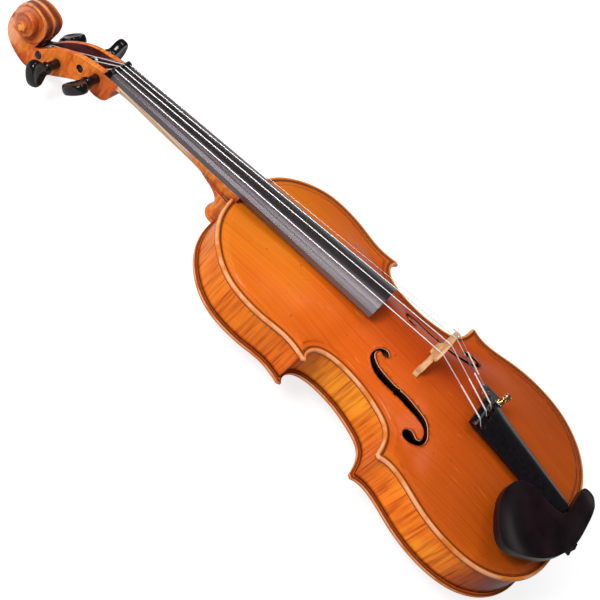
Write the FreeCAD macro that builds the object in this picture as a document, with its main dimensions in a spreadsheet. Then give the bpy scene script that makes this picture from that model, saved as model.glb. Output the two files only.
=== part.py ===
import FreeCAD, Part
import math
import os
from types import SimpleNamespace
from FreeCAD import Rotation, Vector

# A full-size violin, lying on its back.  While it is drawn, x points to the treble side, y runs from
# the tail end of the body to the scroll and z rises from the upper edge of the top plate.
# All sizes are millimetres and angles are degrees.

driving = [
    ("bodyLength", 360.0),          # plates, without the button
    ("lowerBout", 207.8),
    ("lowerWidest", 80.0),          # distance of the widest place from the tail end
    ("waist", 111.2),
    ("waistPlace", 206.0),
    ("upperBout", 163.4),
    ("upperWidest", 289.0),
    ("lowerCornerSpread", 188.0),
    ("lowerCornerPlace", 149.8),
    ("upperCornerSpread", 161.2),
    ("upperCornerPlace", 236.2),
    ("cornerEnd", 3.4),             # blunt end of a plate corner
    ("ribHeight", 30.0),
    ("ribThickness", 1.1),
    ("edgeThickness", 4.0),
    ("overhang", 2.8),              # plate edge beyond the ribs
    ("plateThickness", 3.2),
    ("topArch", 15.5),
    ("backArch", 14.5),
    ("flatMargin", 6.4),            # level band between the outline and the arching
    ("purflingInset", 3.9),
    ("purflingWidth", 1.3),
    ("purflingDepth", 1.6),
    ("stopLength", 191.4),          # from the upper edge to the bridge line
    ("holeUpperEye", 24.4),         # sound hole: distances from the middle joint
    ("holeStem", 38.9),
    ("holeLowerEye", 59.0),
    ("holeTop", 202.6),
    ("holeBottom", 131.0),
    ("holeStemWidth", 6.3),
    ("buttonReach", 12.5),
    ("buttonWidth", 21.2),
    ("blockDepth", 15.0),
    ("blockWidth", 52.0),
    ("cornerBlock", 25.0),
    ("liningHeight", 7.0),
    ("liningThickness", 2.0),
    ("neckLength", 130.0),
    ("neckAngle", 6.24),
    ("overstand", 6.0),             # board seat above the top plate at the body's upper edge
    ("neckThin", 10.8),
    ("neckThick", 13.4),
    ("heelWidth", 33.0),
    ("mortiseDepth", 5.6),          # neck let into the body
    ("boardLength", 266.8),
    ("nutWidth", 24.0),
    ("boardWidth", 42.2),
    ("boardEdge", 5.0),
    ("boardRadius", 42.0),
    ("nutDepth", 5.6),
    ("nutRise", 0.9),               # nut above the board
    ("nutSpread", 16.6),            # outer string to outer string
    ("bridgeSpread", 33.6),
    ("tailSpread", 30.0),
    ("bridgeHeight", 31.8),
    ("bridgeFeet", 41.4),
    ("bridgeThickness", 4.4),
    ("bridgeCrown", 1.5),
    ("tailpieceLength", 102.0),
    ("tailpieceWidth", 41.0),
    ("tailpieceTip", 22.0),
    ("tailpieceFront", 117.0),      # bridge end of the tailpiece, from the tail end of the body
    ("tailpieceFrontHeight", 25.4),
    ("tailpieceTipHeight", 14.9),
    ("tailpieceThickness", 8.6),
    ("saddleWidth", 35.0),
    ("saddleDepth", 6.6),
    ("saddleHeight", 8.6),
    ("buttonHeadDiameter", 14.0),
    ("buttonHeadLength", 8.0),
    ("buttonShankDiameter", 7.6),
    ("buttonNeckDiameter", 7.8),
    ("gutDiameter", 2.0),
    ("headWidth", 26.6),            # pegbox across the cheeks at the nut
    ("cheekThickness", 5.2),
    ("pegDiameter", 7.4),
    ("pegTaper", 30.0),             # one in thirty
    ("pegHoleGap", 0.05),
    ("pegHeadWidth", 20.6),
    ("pegHeadThickness", 8.4),
    ("pegHeadReach", 17.0),
    ("pegCollarDiameter", 10.6),
    ("pegShankBare", 12.5),         # bare shank between the cheek and the collar
    ("coilDepth", 0.9),
    ("coilEye", 21.0),              # eye of the scroll from the middle
    ("gString", 0.82),
    ("dString", 0.80),
    ("aString", 0.70),
    ("eString", 0.34),
    ("postDiameter", 6.2),
    ("postSpread", 19.0),
    ("barLength", 268.0),
    ("barThickness", 5.4),
    ("barHeight", 11.5),
    ("chinrestThickness", 6.0),
    ("corkThickness", 2.6),
    ("lowerCorkThickness", 1.8),
    ("barrelDiameter", 5.0),
    ("barrelLength", 18.0),
    ("clampRodDiameter", 2.6),
    ("clampSpread", 28.0),
    ("clampReach", 5.2),            # clamp rods beyond the tail end of the body
    ("bracketWidth", 50.0),
    ("bracketThickness", 1.8),
    ("tunerWidth", 7.0),
    ("tunerPlate", 0.9),
    ("tunerScrewDiameter", 2.2),
    ("tunerKnobDiameter", 6.4),
    ("pieceGap", 0.05),             # between pieces that are set side by side
]

document = FreeCAD.newDocument("Violin")
sheet = document.addObject("Spreadsheet::Sheet", "Sizes")
for row, (alias, value) in enumerate(driving, start=1):
    sheet.set("A%d" % row, alias)
    sheet.set("B%d" % row, str(value))
    sheet.setAlias("B%d" % row, alias)
document.recompute()
size = SimpleNamespace(**{alias: float(sheet.get(alias)) for alias, value in driving})

# places worked out from the driving sizes
ribTop = -size.edgeThickness
ribBottom = ribTop - size.ribHeight
backFace = ribBottom - size.edgeThickness
bridgePlace = size.bodyLength - size.stopLength
nutPlace = size.bodyLength + size.neckLength
boardSlope = math.tan(math.radians(size.neckAngle))
boardTaper = (size.boardWidth - size.nutWidth) / 2 / size.boardLength
nodes = []


def boardSeat(y):
    """Height of the glue plane between the neck and the fingerboard."""
    return size.overstand - (y - size.bodyLength) * boardSlope


def boardHalf(y):
    """Half width of the fingerboard and of the neck under it."""
    return size.nutWidth / 2 + (nutPlace - y) * boardTaper


mortiseHalf = boardHalf(size.bodyLength - size.mortiseDepth) + size.pieceGap


# ---------------------------------------------------------------- document objects
def addShape(label, shape):
    piece = document.addObject("Part::Feature", label)
    piece.Label = label
    piece.Shape = shape
    nodes.append(piece)
    return piece


def addBody(label):
    body = document.addObject("PartDesign::Body", label)
    body.Label = label
    nodes.append(body)
    return body


def addSketch(body, name, plane, edges, offset=None):
    """A sketch on one of the body's own planes, made of ready edges."""
    sketch = body.newObject("Sketcher::SketchObject", name)
    role = [face for face in body.Origin.OriginFeatures if face.Role == plane][0]
    sketch.AttachmentSupport = (role, [""])
    sketch.MapMode = "FlatFace"
    if offset is not None:
        sketch.AttachmentOffset = FreeCAD.Placement(Vector(0, 0, offset), Rotation())
    for edge in edges:
        sketch.addGeometry(edge, False)
    return sketch


def addPad(body, sketch, length, reversed=False, middle=False):
    pad = body.newObject("PartDesign::Pad", body.Name + "Pad")
    pad.Profile = sketch
    if isinstance(length, str):
        pad.setExpression("Length", length)
    else:
        pad.Length = length
    pad.Reversed = reversed
    pad.Midplane = middle
    body.Tip = pad
    return pad


def addPocket(body, sketch, length, reversed=False, middle=False):
    pocket = body.newObject("PartDesign::Pocket", body.Name + "Pocket")
    pocket.Profile = sketch
    if isinstance(length, str):
        pocket.setExpression("Length", length)
    else:
        pocket.Length = length
    pocket.Reversed = reversed
    pocket.Midplane = middle
    body.Tip = pocket
    return pocket


def addRevolution(body, sketch, axis):
    turned = body.newObject("PartDesign::Revolution", body.Name + "Turned")
    turned.Profile = sketch
    turned.ReferenceAxis = (sketch, [axis])
    turned.Angle = 360.0
    body.Tip = turned
    return turned


def polygon(points):
    """Line segments around a closed figure given as (x, y) pairs."""
    corners = [Vector(x, y, 0) for x, y in points]
    return [Part.LineSegment(a, b) for a, b in zip(corners, corners[1:] + corners[:1])]


def circle(x, y, radius):
    return Part.Circle(Vector(x, y, 0), Vector(0, 0, 1), radius)


def spline(points, parameters=None):
    """A smooth curve through points."""
    curve = Part.BSplineCurve()
    places = [Vector(point) for point in points]
    if parameters is None:
        curve.interpolate(Points=places)
    else:
        curve.interpolate(Points=places, Parameters=parameters)
    return curve


def prism(edges, low, high):
    """A solid between two heights over a closed figure in the plan."""
    wire = Part.Wire(Part.__sortEdges__([edge.toShape() if hasattr(edge, "toShape") else edge
                                         for edge in edges]))
    wire.translate(Vector(0, 0, low - wire.BoundBox.ZMin))
    return Part.Face(wire).extrude(Vector(0, 0, high - low))


def mirrored(shape):
    return shape.mirror(Vector(0, 0, 0), Vector(1, 0, 0))


# ---------------------------------------------------------------- outline
# The outline is a lower and an upper bout and a centre bout on each side, meeting in blunt corners.
lowerHalf = size.lowerBout / 2
upperHalf = size.upperBout / 2
waistHalf = size.waist / 2
lowerCorner = size.lowerCornerSpread / 2
upperCorner = size.upperCornerSpread / 2
insetSteps = 20


def lowerCurve():
    """From the bass corner round the tail end to the treble corner."""
    rise = [(0.34, 0.012), (0.585, 0.085), (0.79, 0.255), (0.948, 0.555), (1, 1)]
    flank = [(0.958, 0.385), (0.893, 0.69), (0.878, 0.85)]
    span = size.lowerCornerPlace - size.lowerWidest
    treble = [(x * lowerHalf, y * size.lowerWidest, 0) for x, y in rise]
    treble += [(x * lowerHalf, size.lowerWidest + y * span, 0) for x, y in flank]
    treble.append((lowerCorner, size.lowerCornerPlace, 0))
    return spline([(-x, y, z) for x, y, z in reversed(treble)] + [(0, 0, 0)] + treble)


def centreCurve():
    """The treble waist, from the lower corner to the upper one."""
    foot = Vector(lowerCorner - 0.55 * size.cornerEnd, size.lowerCornerPlace + 0.83 * size.cornerEnd, 0)
    tip = Vector(upperCorner - 0.5 * size.cornerEnd, size.upperCornerPlace - 0.86 * size.cornerEnd, 0)
    below = [(1, 0), (0.69, 0.024), (0.345, 0.135), (0.14, 0.4), (0.02, 0.74), (0, 1)]
    above = [(0.1, 0.63), (0.31, 0.95), (0.63, 1.09), (1, 1)]
    spanBelow = size.waistPlace - foot.y
    spanAbove = tip.y - size.waistPlace
    points = [(waistHalf + x * (foot.x - waistHalf), foot.y + y * spanBelow, 0) for x, y in below]
    points += [(waistHalf + x * (tip.x - waistHalf), size.waistPlace + y * spanAbove, 0)
               for x, y in above]
    return spline(points)


def upperCurve():
    """From the treble corner round the neck end to the bass corner."""
    start = size.upperCornerPlace
    flank = [(0.961, 0.14), (0.946, 0.36), (0.986, 0.75), (1, 1)]
    close = [(0.968, 0.32), (0.8, 0.65), (0.553, 0.872), (0.27, 0.978)]
    span = size.bodyLength - size.upperWidest
    treble = [(upperCorner, start, 0)]
    treble += [(x * upperHalf, start + y * (size.upperWidest - start), 0) for x, y in flank]
    treble += [(x * upperHalf, size.upperWidest + y * span, 0) for x, y in close]
    return spline(treble + [(0, size.bodyLength, 0)] + [(-x, y, z) for x, y, z in reversed(treble)])


bouts = [lowerCurve(), centreCurve(), upperCurve()]


def insetPoint(curve, at, distance):
    """A point beside the curve, a distance into the body."""
    tangent = curve.tangent(at)[0]
    inward = Vector(-tangent.y, tangent.x, 0).normalize()
    return curve.value(at) + inward * distance


def insetCurve(curve, distance, start, end, steps, startPoint=None, endPoint=None):
    """The curve moved into the body between two of its parameters."""
    stations = [start + (end - start) * step / steps for step in range(steps + 1)]
    points = [insetPoint(curve, at, distance) for at in stations]
    points[0] = startPoint or points[0]
    points[-1] = endPoint or points[-1]
    return spline(points, stations)


def insetBouts(distance):
    """The lower, treble centre and upper curves, cut where they cross in the corners."""
    if distance == 0:
        return bouts
    lower, centre, upper = bouts
    steps = (2 * insetSteps, insetSteps, 2 * insetSteps)
    whole = [insetCurve(curve, distance, curve.FirstParameter, curve.LastParameter, count)
             for curve, count in zip(bouts, steps)]
    meetings = []
    for before, after in ((0, 1), (1, 2)):
        corner = bouts[before].value(bouts[before].LastParameter)
        crossings = [Vector(place.X, place.Y, 0) for place in whole[before].intersectCC(whole[after])]
        meetings.append(min(crossings, key=corner.distanceToPoint))
    first, second = meetings
    lowerEnd = whole[0].parameter(first)
    upperStart = whole[2].parameter(second)
    return [insetCurve(lower, distance, lower.LastParameter - lowerEnd, lowerEnd, steps[0],
                       Vector(-first.x, first.y, 0), first),
            insetCurve(centre, distance, whole[1].parameter(first), whole[1].parameter(second),
                       steps[1], first, second),
            insetCurve(upper, distance, upperStart, upper.LastParameter - upperStart, steps[2],
                       second, Vector(-second.x, second.y, 0))]


def closedOutline(distance):
    """The whole outline, moved inwards by a distance, as one closed wire."""
    lower, centre, upper = [curve.toShape() for curve in insetBouts(distance)]
    edges = [lower, centre, upper, mirrored(centre)]
    if distance == 0:
        for before, after in ((lower, centre), (centre, upper)):
            joint = Part.makeLine(before.valueAt(before.LastParameter), after.valueAt(after.FirstParameter))
            edges += [joint, mirrored(joint)]
    return Part.Wire(Part.__sortEdges__(edges))


def outlineSolid(distance, low, high):
    wire = closedOutline(distance)
    wire.translate(Vector(0, 0, low))
    return Part.Face(wire).extrude(Vector(0, 0, high - low))


# ---------------------------------------------------------------- arching
def archHalfWidth(y):
    """Half width of the arched field: the outline without its corners, less the flat margin."""
    margin = size.flatMargin
    lower = lowerHalf - margin - 1
    upper = upperHalf - margin
    middle = waistHalf - margin
    stations = [(0, 0.62 * lower), (0.1 * size.lowerWidest, 0.72 * lower),
                (0.38 * size.lowerWidest, 0.87 * lower), (0.75 * size.lowerWidest, 0.98 * lower),
                (1.05 * size.lowerWidest, lower), (1.38 * size.lowerWidest, 0.93 * lower),
                (0.9 * size.lowerCornerPlace, 0.77 * lower),
                (0.77 * size.waistPlace, 1.16 * middle), (0.88 * size.waistPlace, 1.03 * middle),
                (0.99 * size.waistPlace, 0.99 * middle), (1.09 * size.waistPlace, 1.03 * middle),
                (0.84 * size.upperWidest, 0.78 * upper), (0.92 * size.upperWidest, 0.9 * upper),
                (1.0 * size.upperWidest, 0.99 * upper), (1.07 * size.upperWidest, 0.96 * upper),
                (0.93 * size.bodyLength, 0.82 * upper), (0.99 * size.bodyLength, 0.64 * upper),
                (size.bodyLength, 0.6 * upper)]
    y = min(max(y, 0), size.bodyLength)
    for (y0, w0), (y1, w1) in zip(stations, stations[1:]):
        if y <= y1:
            share = (y - y0) / (y1 - y0)
            ease = share * share * (3 - 2 * share)
            return w0 + (w1 - w0) * (0.5 * share + 0.5 * ease)
    return stations[-1][1]


def archRise(x, y, height):
    """Rise of an arched plate over its flat margin."""
    along = abs(y - size.bodyLength / 2) / (size.bodyLength / 2 - size.flatMargin - 1)
    across = abs(x) / archHalfWidth(y)
    if along >= 1 or across >= 1:
        return 0.0
    return height * (1 - along ** 2.8) ** 1.4 * (1 - across ** 2.4) ** 1.5


def archSurface(height, level, upward):
    """A smooth surface over the whole plate, as a face."""
    columns = 27
    rows = 37
    reachX = lowerHalf + 8
    direction = 1 if upward else -1
    grid = []
    for column in range(columns):
        x = reachX * (2.0 * column / (columns - 1) - 1)
        line = []
        for row in range(rows):
            y = -12 + (size.bodyLength + 40) * row / (rows - 1)
            line.append(Vector(x, y, level + direction * archRise(x, y, height)))
        grid.append(line)
    surface = Part.BSplineSurface()
    surface.interpolate(grid)
    return surface.toShape()


topFace = archSurface(size.topArch, 0, True)
topUnderFace = archSurface(size.topArch, -size.plateThickness, True)
backFaceShape = archSurface(size.backArch, backFace, False)
backInnerFace = archSurface(size.backArch, backFace + size.plateThickness, False)
tall = Vector(0, 0, 60)
underTop = topFace.extrude(-tall)
underTopInside = topUnderFace.extrude(-tall)
overBack = backFaceShape.extrude(tall)
overBackInside = backInnerFace.extrude(tall)


def hollowOutline(low, high):
    """The part of a plate that is carved away inside, clear of the linings and the blocks."""
    margin = size.overhang + size.ribThickness + size.liningThickness + 1.4
    half = []
    for row in range(13):
        y = size.blockDepth + 5 + (size.bodyLength - 2 * size.blockDepth - 10) * row / 12
        half.append((archHalfWidth(y) + size.flatMargin - margin - 1, y))
    first, last = half[0], half[-1]
    treble = [(0.5 * first[0], first[1] - 0.6, 0)] + [(x, y, 0) for x, y in half[1:-1]]
    treble.append((0.5 * last[0], last[1] + 0.6, 0))
    bass = [(-x, y, z) for x, y, z in reversed(treble)]
    around = [(0, first[1] - 1, 0)] + treble + [(0, last[1] + 1, 0)] + bass
    ring = Part.BSplineCurve()
    ring.interpolate(Points=[Vector(point) for point in around], PeriodicFlag=True)
    wire = Part.Wire([ring.toShape()])
    wire.translate(Vector(0, 0, low))
    return Part.Face(wire).extrude(Vector(0, 0, high - low))


def soundHoleEdges():
    """The treble sound hole: two eyes, two wings and the slanting stem between them."""
    top, bottom = size.holeTop, size.holeBottom
    tall = top - bottom
    stem, width = size.holeStem, size.holeStemWidth
    upper, lower = size.holeUpperEye, size.holeLowerEye

    def place(x, share):
        return (x, bottom + share * tall, 0)

    outside = [place(upper - 1.2, 0.86), place(upper - 2.4, 0.9), place(upper - 1.4, 0.95),
               place(upper + 2.2, 0.993), place(stem - 6.4, 0.998), place(stem - 2, 0.93),
               place(stem + 0.6, 0.845), place(stem + 0.5 * width - 0.4, 0.69),
               place(stem + 0.5 * width, 0.53), place(stem + 0.5 * width + 1, 0.375),
               place(stem + 0.5 * width + 4, 0.175), place(lower - 6.6, 0.045),
               place(lower - 2.6, 0.045), place(lower - 1.2, 0.085)]
    wing = [place(lower - 1.2, 0.085), place(lower - 3.9, 0.165), place(lower - 4, 0.205),
            place(lower - 2.4, 0.232), place(lower + 0.4, 0.232), place(lower + 2.8, 0.2),
            place(lower + 3.9, 0.14), place(lower + 2.6, 0.06), place(lower - 1, 0.004),
            place(lower - 6, 0), place(stem + 9.6, 0.034), place(stem + 3.2, 0.13),
            place(stem - 0.5 * width + 2.4, 0.25), place(stem - 0.5 * width + 0.1, 0.42),
            place(stem - 0.5 * width, 0.56), place(stem - 0.5 * width - 0.6, 0.69),
            place(stem - 0.5 * width - 1.8, 0.85), place(stem - 6, 0.93),
            place(stem - 9.5, 0.982), place(upper + 2.2, 0.972), place(upper + 1, 0.945)]
    eye = [place(upper + 1, 0.945), place(upper + 2.2, 0.9), place(upper + 1.6, 0.862),
           place(upper + 0.2, 0.848), place(upper - 1.2, 0.86)]
    return [spline(outside).toShape(), spline(wing).toShape(), spline(eye).toShape()]


def buttonSolid(low, high):
    """Half-round tab of the back plate that carries the heel of the neck."""
    half = size.buttonWidth / 2
    edge = size.bodyLength
    reach = size.buttonReach
    sides = [Part.LineSegment(Vector(-half, edge - 6, 0), Vector(half, edge - 6, 0)),
             Part.LineSegment(Vector(half, edge - 6, 0), Vector(half, edge + reach - half, 0)),
             Part.Arc(Vector(half, edge + reach - half, 0), Vector(0, edge + reach, 0),
                      Vector(-half, edge + reach - half, 0)),
             Part.LineSegment(Vector(-half, edge + reach - half, 0), Vector(-half, edge - 6, 0))]
    return prism(sides, low, high)


def purflingBand(low, high, clearance):
    """The inlaid line that runs round a plate, between two insets of the outline."""
    outside = outlineSolid(size.purflingInset + clearance, low, high)
    inside = outlineSolid(size.purflingInset + size.purflingWidth - clearance, low, high)
    return outside.cut(inside)


def heelHalfWidth(z):
    """The neck's heel narrows from the board seat to the button."""
    share = (size.overstand - z) / (size.overstand - ribBottom)
    return size.heelWidth / 2 + (size.buttonWidth / 2 - size.heelWidth / 2) * share


def topPlate():
    blank = outlineSolid(0, ribTop, 30).common(underTop)
    carving = hollowOutline(ribTop - 5, 30).common(underTopInside)
    plate = blank.cut(carving)
    hole = prism(soundHoleEdges(), ribTop - 5, 30)
    plate = plate.cut(hole.fuse(mirrored(hole)))
    plate = plate.cut(purflingBand(-size.purflingDepth, 5, 0))
    slot = Vector(-mortiseHalf, size.bodyLength - size.mortiseDepth, -20)
    plate = plate.cut(Part.makeBox(2 * mortiseHalf, 20, 40, slot))
    saddle = size.saddleWidth / 2 + size.pieceGap
    plate = plate.cut(Part.makeBox(2 * saddle, 20, 40,
                                   Vector(-saddle, size.saddleDepth + size.pieceGap - 20, -20)))
    return plate


def backPlate():
    blank = outlineSolid(0, backFace - 30, ribBottom).common(overBack)
    blank = blank.fuse(buttonSolid(backFace, ribBottom)).removeSplitter()
    carving = hollowOutline(backFace - 30, ribBottom + 5).common(overBackInside)
    plate = blank.cut(carving)
    return plate.cut(purflingBand(backFace - 5, backFace + size.purflingDepth, 0))


addShape("top_plate", topPlate())
addShape("back_plate", backPlate())


def topLine():
    """The upper line is open where the neck and the saddle are let in."""
    line = purflingBand(-size.purflingDepth + size.pieceGap, -lineSink, size.pieceGap)
    clear = 0.3
    neckSide = mortiseHalf + clear
    saddleSide = size.saddleWidth / 2 + clear
    neckRoom = Vector(-neckSide, size.bodyLength - size.mortiseDepth - clear, -10)
    saddleRoom = Vector(-saddleSide, size.saddleDepth + clear - 30, -10)
    line = line.cut(Part.makeBox(2 * neckSide, 30, 20, neckRoom))
    return line.cut(Part.makeBox(2 * saddleSide, 30, 20, saddleRoom))


lineSink = 0.02
addShape("top_purfling", topLine())
addShape("back_purfling", purflingBand(backFace + lineSink, backFace + size.purflingDepth - size.pieceGap,
                                       size.pieceGap))
print("plates done")


# ---------------------------------------------------------------- ribs, blocks and linings
ribOuter = insetBouts(size.overhang)
ribInner = insetBouts(size.overhang + size.ribThickness)
blockOuter = insetBouts(size.overhang + size.ribThickness + size.pieceGap)
liningInner = insetBouts(size.overhang + size.ribThickness + size.liningThickness)


def parameterWhere(curve, reached):
    """Parameter of the first place, counted from the middle, where a test becomes true."""
    middle = (curve.FirstParameter + curve.LastParameter) / 2
    low, high = middle, curve.LastParameter
    for _ in range(40):
        at = (low + high) / 2
        if reached(curve.value(at)):
            high = at
        else:
            low = at
    return high


def band(outer, inner, outerSpan, innerSpan):
    """Geometry of a strip between two curves, ready for a sketch."""
    outside = outer.copy()
    outside.segment(*outerSpan)
    inside = inner.copy()
    inside.segment(*innerSpan)
    first = Part.LineSegment(outside.value(outside.FirstParameter), inside.value(inside.FirstParameter))
    last = Part.LineSegment(outside.value(outside.LastParameter), inside.value(inside.LastParameter))
    return [outside, first, inside, last]


def flipped(geometry):
    """The same sketch geometry on the bass side."""
    turned = [item.copy() for item in geometry]
    for item in turned:
        item.rotate(FreeCAD.Placement(Vector(), Rotation(Vector(0, 1, 0), 180)))
    return turned


def addRib(label, geometry):
    rib = addBody(label)
    sketch = addSketch(rib, label + "Sketch", "XY_Plane", geometry)
    sketch.setExpression("AttachmentOffset.Base.z", "-Sizes.edgeThickness - Sizes.ribHeight")
    addPad(rib, sketch, "Sizes.ribHeight")
    return rib


def centred(curve):
    return (curve.FirstParameter + curve.LastParameter) / 2


def farSpan(curve, start):
    return (start, curve.LastParameter)


neckGap = heelHalfWidth(0) + size.pieceGap
lowerRib = band(ribOuter[0], ribInner[0], farSpan(ribOuter[0], centred(ribOuter[0])),
                farSpan(ribInner[0], centred(ribInner[0])))
centreRib = band(ribOuter[1], ribInner[1], (ribOuter[1].FirstParameter, ribOuter[1].LastParameter),
                 (ribInner[1].FirstParameter, ribInner[1].LastParameter))


def neckSpan(curve):
    """From the bass side of the heel to the bass corner, along an upper curve."""
    return (parameterWhere(curve, lambda place: place.x < -neckGap), curve.LastParameter)


upperRib = band(ribOuter[2], ribInner[2], neckSpan(ribOuter[2]), neckSpan(ribInner[2]))
for label, geometry in (("lower_rib_treble", lowerRib), ("lower_rib_bass", flipped(lowerRib)),
                        ("centre_rib_treble", centreRib), ("centre_rib_bass", flipped(centreRib)),
                        ("upper_rib_bass", upperRib), ("upper_rib_treble", flipped(upperRib))):
    rib = addRib(label, geometry)
    if label.startswith("lower"):
        hole = addSketch(rib, label + "Hole", "XZ_Plane",
                         [circle(0, (ribTop + ribBottom) / 2, size.buttonShankDiameter / 2 + size.pieceGap)])
        addPocket(rib, hole, "Sizes.blockDepth", middle=True)


def addBlock(label, curve, inwards):
    """An end block: it follows the ribs outside and is straight inside."""
    half = size.blockWidth / 2
    at = parameterWhere(curve, lambda place: abs(place.x) > half)
    outside = curve.copy()
    outside.segment(curve.FirstParameter + curve.LastParameter - at, at)
    first = outside.value(outside.FirstParameter)
    last = outside.value(outside.LastParameter)
    face = curve.value(centred(curve)).y + inwards * size.blockDepth
    corners = [first, Vector(first.x, face, 0), Vector(last.x, face, 0), last]
    sides = [Part.LineSegment(a, b) for a, b in zip(corners, corners[1:])]
    block = addBody(label)
    sketch = addSketch(block, label + "Sketch", "XY_Plane", [outside] + sides)
    sketch.setExpression("AttachmentOffset.Base.z", "-Sizes.edgeThickness - Sizes.ribHeight")
    addPad(block, sketch, "Sizes.ribHeight")
    return block


endBlock = addBlock("end_block", blockOuter[0], 1)
blockHole = addSketch(endBlock, "endBlockHole", "XZ_Plane",
                      [circle(0, (ribTop + ribBottom) / 2, size.buttonShankDiameter / 2 + size.pieceGap)])
addPocket(endBlock, blockHole, 80, middle=True)
neckBlock = addBlock("neck_block", blockOuter[2], -1)
heelTop = heelHalfWidth(0) + size.pieceGap
heelFoot = heelHalfWidth(ribBottom) + size.pieceGap
slot = addSketch(neckBlock, "neckBlockSlot", "XZ_Plane",
                 polygon([(-heelTop - 2, ribTop + 1), (heelTop + 2, ribTop + 1),
                          (heelFoot + 2, ribBottom - 1), (-heelFoot - 2, ribBottom - 1)]))
slot.AttachmentOffset = FreeCAD.Placement(Vector(0, 0, -size.bodyLength + size.mortiseDepth), Rotation())
addPocket(neckBlock, slot, 20, reversed=False)
document.recompute()


def cornerBlocks():
    """Four willow blocks that fill the corners of the ribs."""
    solids = []
    reach = size.cornerBlock
    for lowShare, before, after, highShare in ((1, 0, 1, 0.7), (0.7, 1, 2, 1)):
        first, second = blockOuter[before].copy(), blockOuter[after].copy()
        first.segment(first.LastParameter - lowShare * reach, first.LastParameter - 2)
        second.segment(second.FirstParameter + 2, second.FirstParameter + highShare * reach)
        ends = [(first.value(first.LastParameter), second.value(second.FirstParameter)),
                (first.value(first.FirstParameter), second.value(second.LastParameter))]
        block = prism([first, second] + [Part.LineSegment(*pair) for pair in ends], ribBottom, ribTop)
        solids += [block, mirrored(block)]
    return Part.makeCompound(solids)


addShape("corner_blocks", cornerBlocks())


def liningSpans():
    """Stretches of the ribs between the blocks, as (bout, start, end) of the treble side."""
    clear = size.cornerBlock + 0.6
    half = size.blockWidth / 2 + 0.6
    lower, centre, upper = blockOuter
    return [(0, parameterWhere(lower, lambda place: abs(place.x) > half), lower.LastParameter - clear),
            (1, centre.FirstParameter + clear, centre.LastParameter - clear),
            (2, parameterWhere(upper, lambda place: abs(place.x) > half), upper.LastParameter - clear)]


def linings(low):
    """Thin strips glued along one edge of the ribs."""
    solids = []
    for bout, start, end in liningSpans():
        strip = prism(band(blockOuter[bout], liningInner[bout], (start, end), (start, end)),
                      low, low + size.liningHeight)
        solids += [strip, mirrored(strip)]
    return Part.makeCompound(solids)


addShape("top_linings", linings(ribTop - size.liningHeight))
addShape("back_linings", linings(ribBottom))

barPlace = -size.bridgeSpread / 2 + 1.5
barSide = [(-0.5, -2.0), (-0.4, -5.5), (-0.18, -9.5), (0.0, -size.barHeight), (0.16, -9.5), (0.38, -5.5),
           (0.5, -2.0)]


def bassBar():
    """The bar follows the inside of the arch and is deepest under the bridge."""
    under = size.topArch - size.plateThickness
    foot = [Vector(0, bridgePlace + 6 + along * size.barLength, under + depth)
            for along, depth in [(a, d + archRise(0, bridgePlace + 6 + a * size.barLength, size.topArch)
                                  - size.topArch) for a, d in barSide]]
    lower = Part.BSplineCurve()
    lower.interpolate(Points=foot)
    first, last = foot[0], foot[-1]
    roof = 40
    edges = [lower.toShape(), Part.makeLine(last, Vector(0, last.y, roof)),
             Part.makeLine(Vector(0, last.y, roof), Vector(0, first.y, roof)),
             Part.makeLine(Vector(0, first.y, roof), first)]
    side = Part.Face(Part.Wire(edges))
    side.translate(Vector(barPlace - size.barThickness / 2, 0, 0))
    roofFace = underTopInside.copy()
    roofFace.translate(Vector(0, 0, -size.pieceGap))
    return side.extrude(Vector(size.barThickness, 0, 0)).common(roofFace)


addShape("bass_bar", bassBar())
postY = bridgePlace - 5


def soundPost():
    post = Part.makeCylinder(size.postDiameter / 2, 80, Vector(size.postSpread, postY, -50))
    roof, floor = underTopInside.copy(), overBackInside.copy()
    roof.translate(Vector(0, 0, -size.pieceGap))
    floor.translate(Vector(0, 0, size.pieceGap))
    return post.common(roof).common(floor)


addShape("sound_post", soundPost())
print("inside done")


# ---------------------------------------------------------------- neck and head
headHalf = size.headWidth / 2


def neckSection(y, depth):
    """Cross-section of the neck: flat under the board, round in the hand."""
    half = boardHalf(y)
    seat = boardSeat(y)
    shape = [(-1, 0), (-0.92, -0.29), (-0.72, -0.62), (-0.4, -0.9), (0, -1)]
    shape += [(-x, z) for x, z in reversed(shape[:-1])]
    under = spline([(x * half, y, seat + z * depth) for x, z in shape])
    return Part.Wire([under.toShape(), Part.makeLine(Vector(half, y, seat), Vector(-half, y, seat))])


def neckShaft():
    start = size.bodyLength - size.mortiseDepth
    stations = [(start, 21), (start + 18, 20), (start + 30, 17.2), (start + 43, 14.6),
                (start + 62, size.neckThick), (nutPlace - 40, 11.8), (nutPlace - 14, size.neckThin),
                (nutPlace - 3, 12.4)]
    return Part.makeLoft([neckSection(y, depth) for y, depth in stations], True, False)


def heelSection(z, front):
    """Cross-section of the heel at one height, seen from above."""
    half = heelHalfWidth(z)
    back = size.bodyLength - size.mortiseDepth
    bow = spline([(-half, back + 8, z), (-0.93 * half, back + 0.62 * (front - back), z),
                  (-0.62 * half, front - 1.6, z), (0, front, z), (0.62 * half, front - 1.6, z),
                  (0.93 * half, back + 0.62 * (front - back), z), (half, back + 8, z)])
    corners = [Vector(half, back + 8, z), Vector(half, back, z), Vector(-half, back, z),
               Vector(-half, back + 8, z)]
    return Part.Wire([bow.toShape()] + [Part.makeLine(a, b) for a, b in zip(corners, corners[1:])])


def heel():
    edge = size.bodyLength
    stations = [(ribBottom, edge + 12.4), (ribBottom + 6, edge + 10.6), (ribBottom + 13, edge + 11),
                (ribBottom + 19, edge + 15.5), (ribBottom + 23, edge + 22.5), (ribBottom + 26, edge + 33)]
    return Part.makeLoft([heelSection(z, front) for z, front in stations], True, False)


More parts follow.
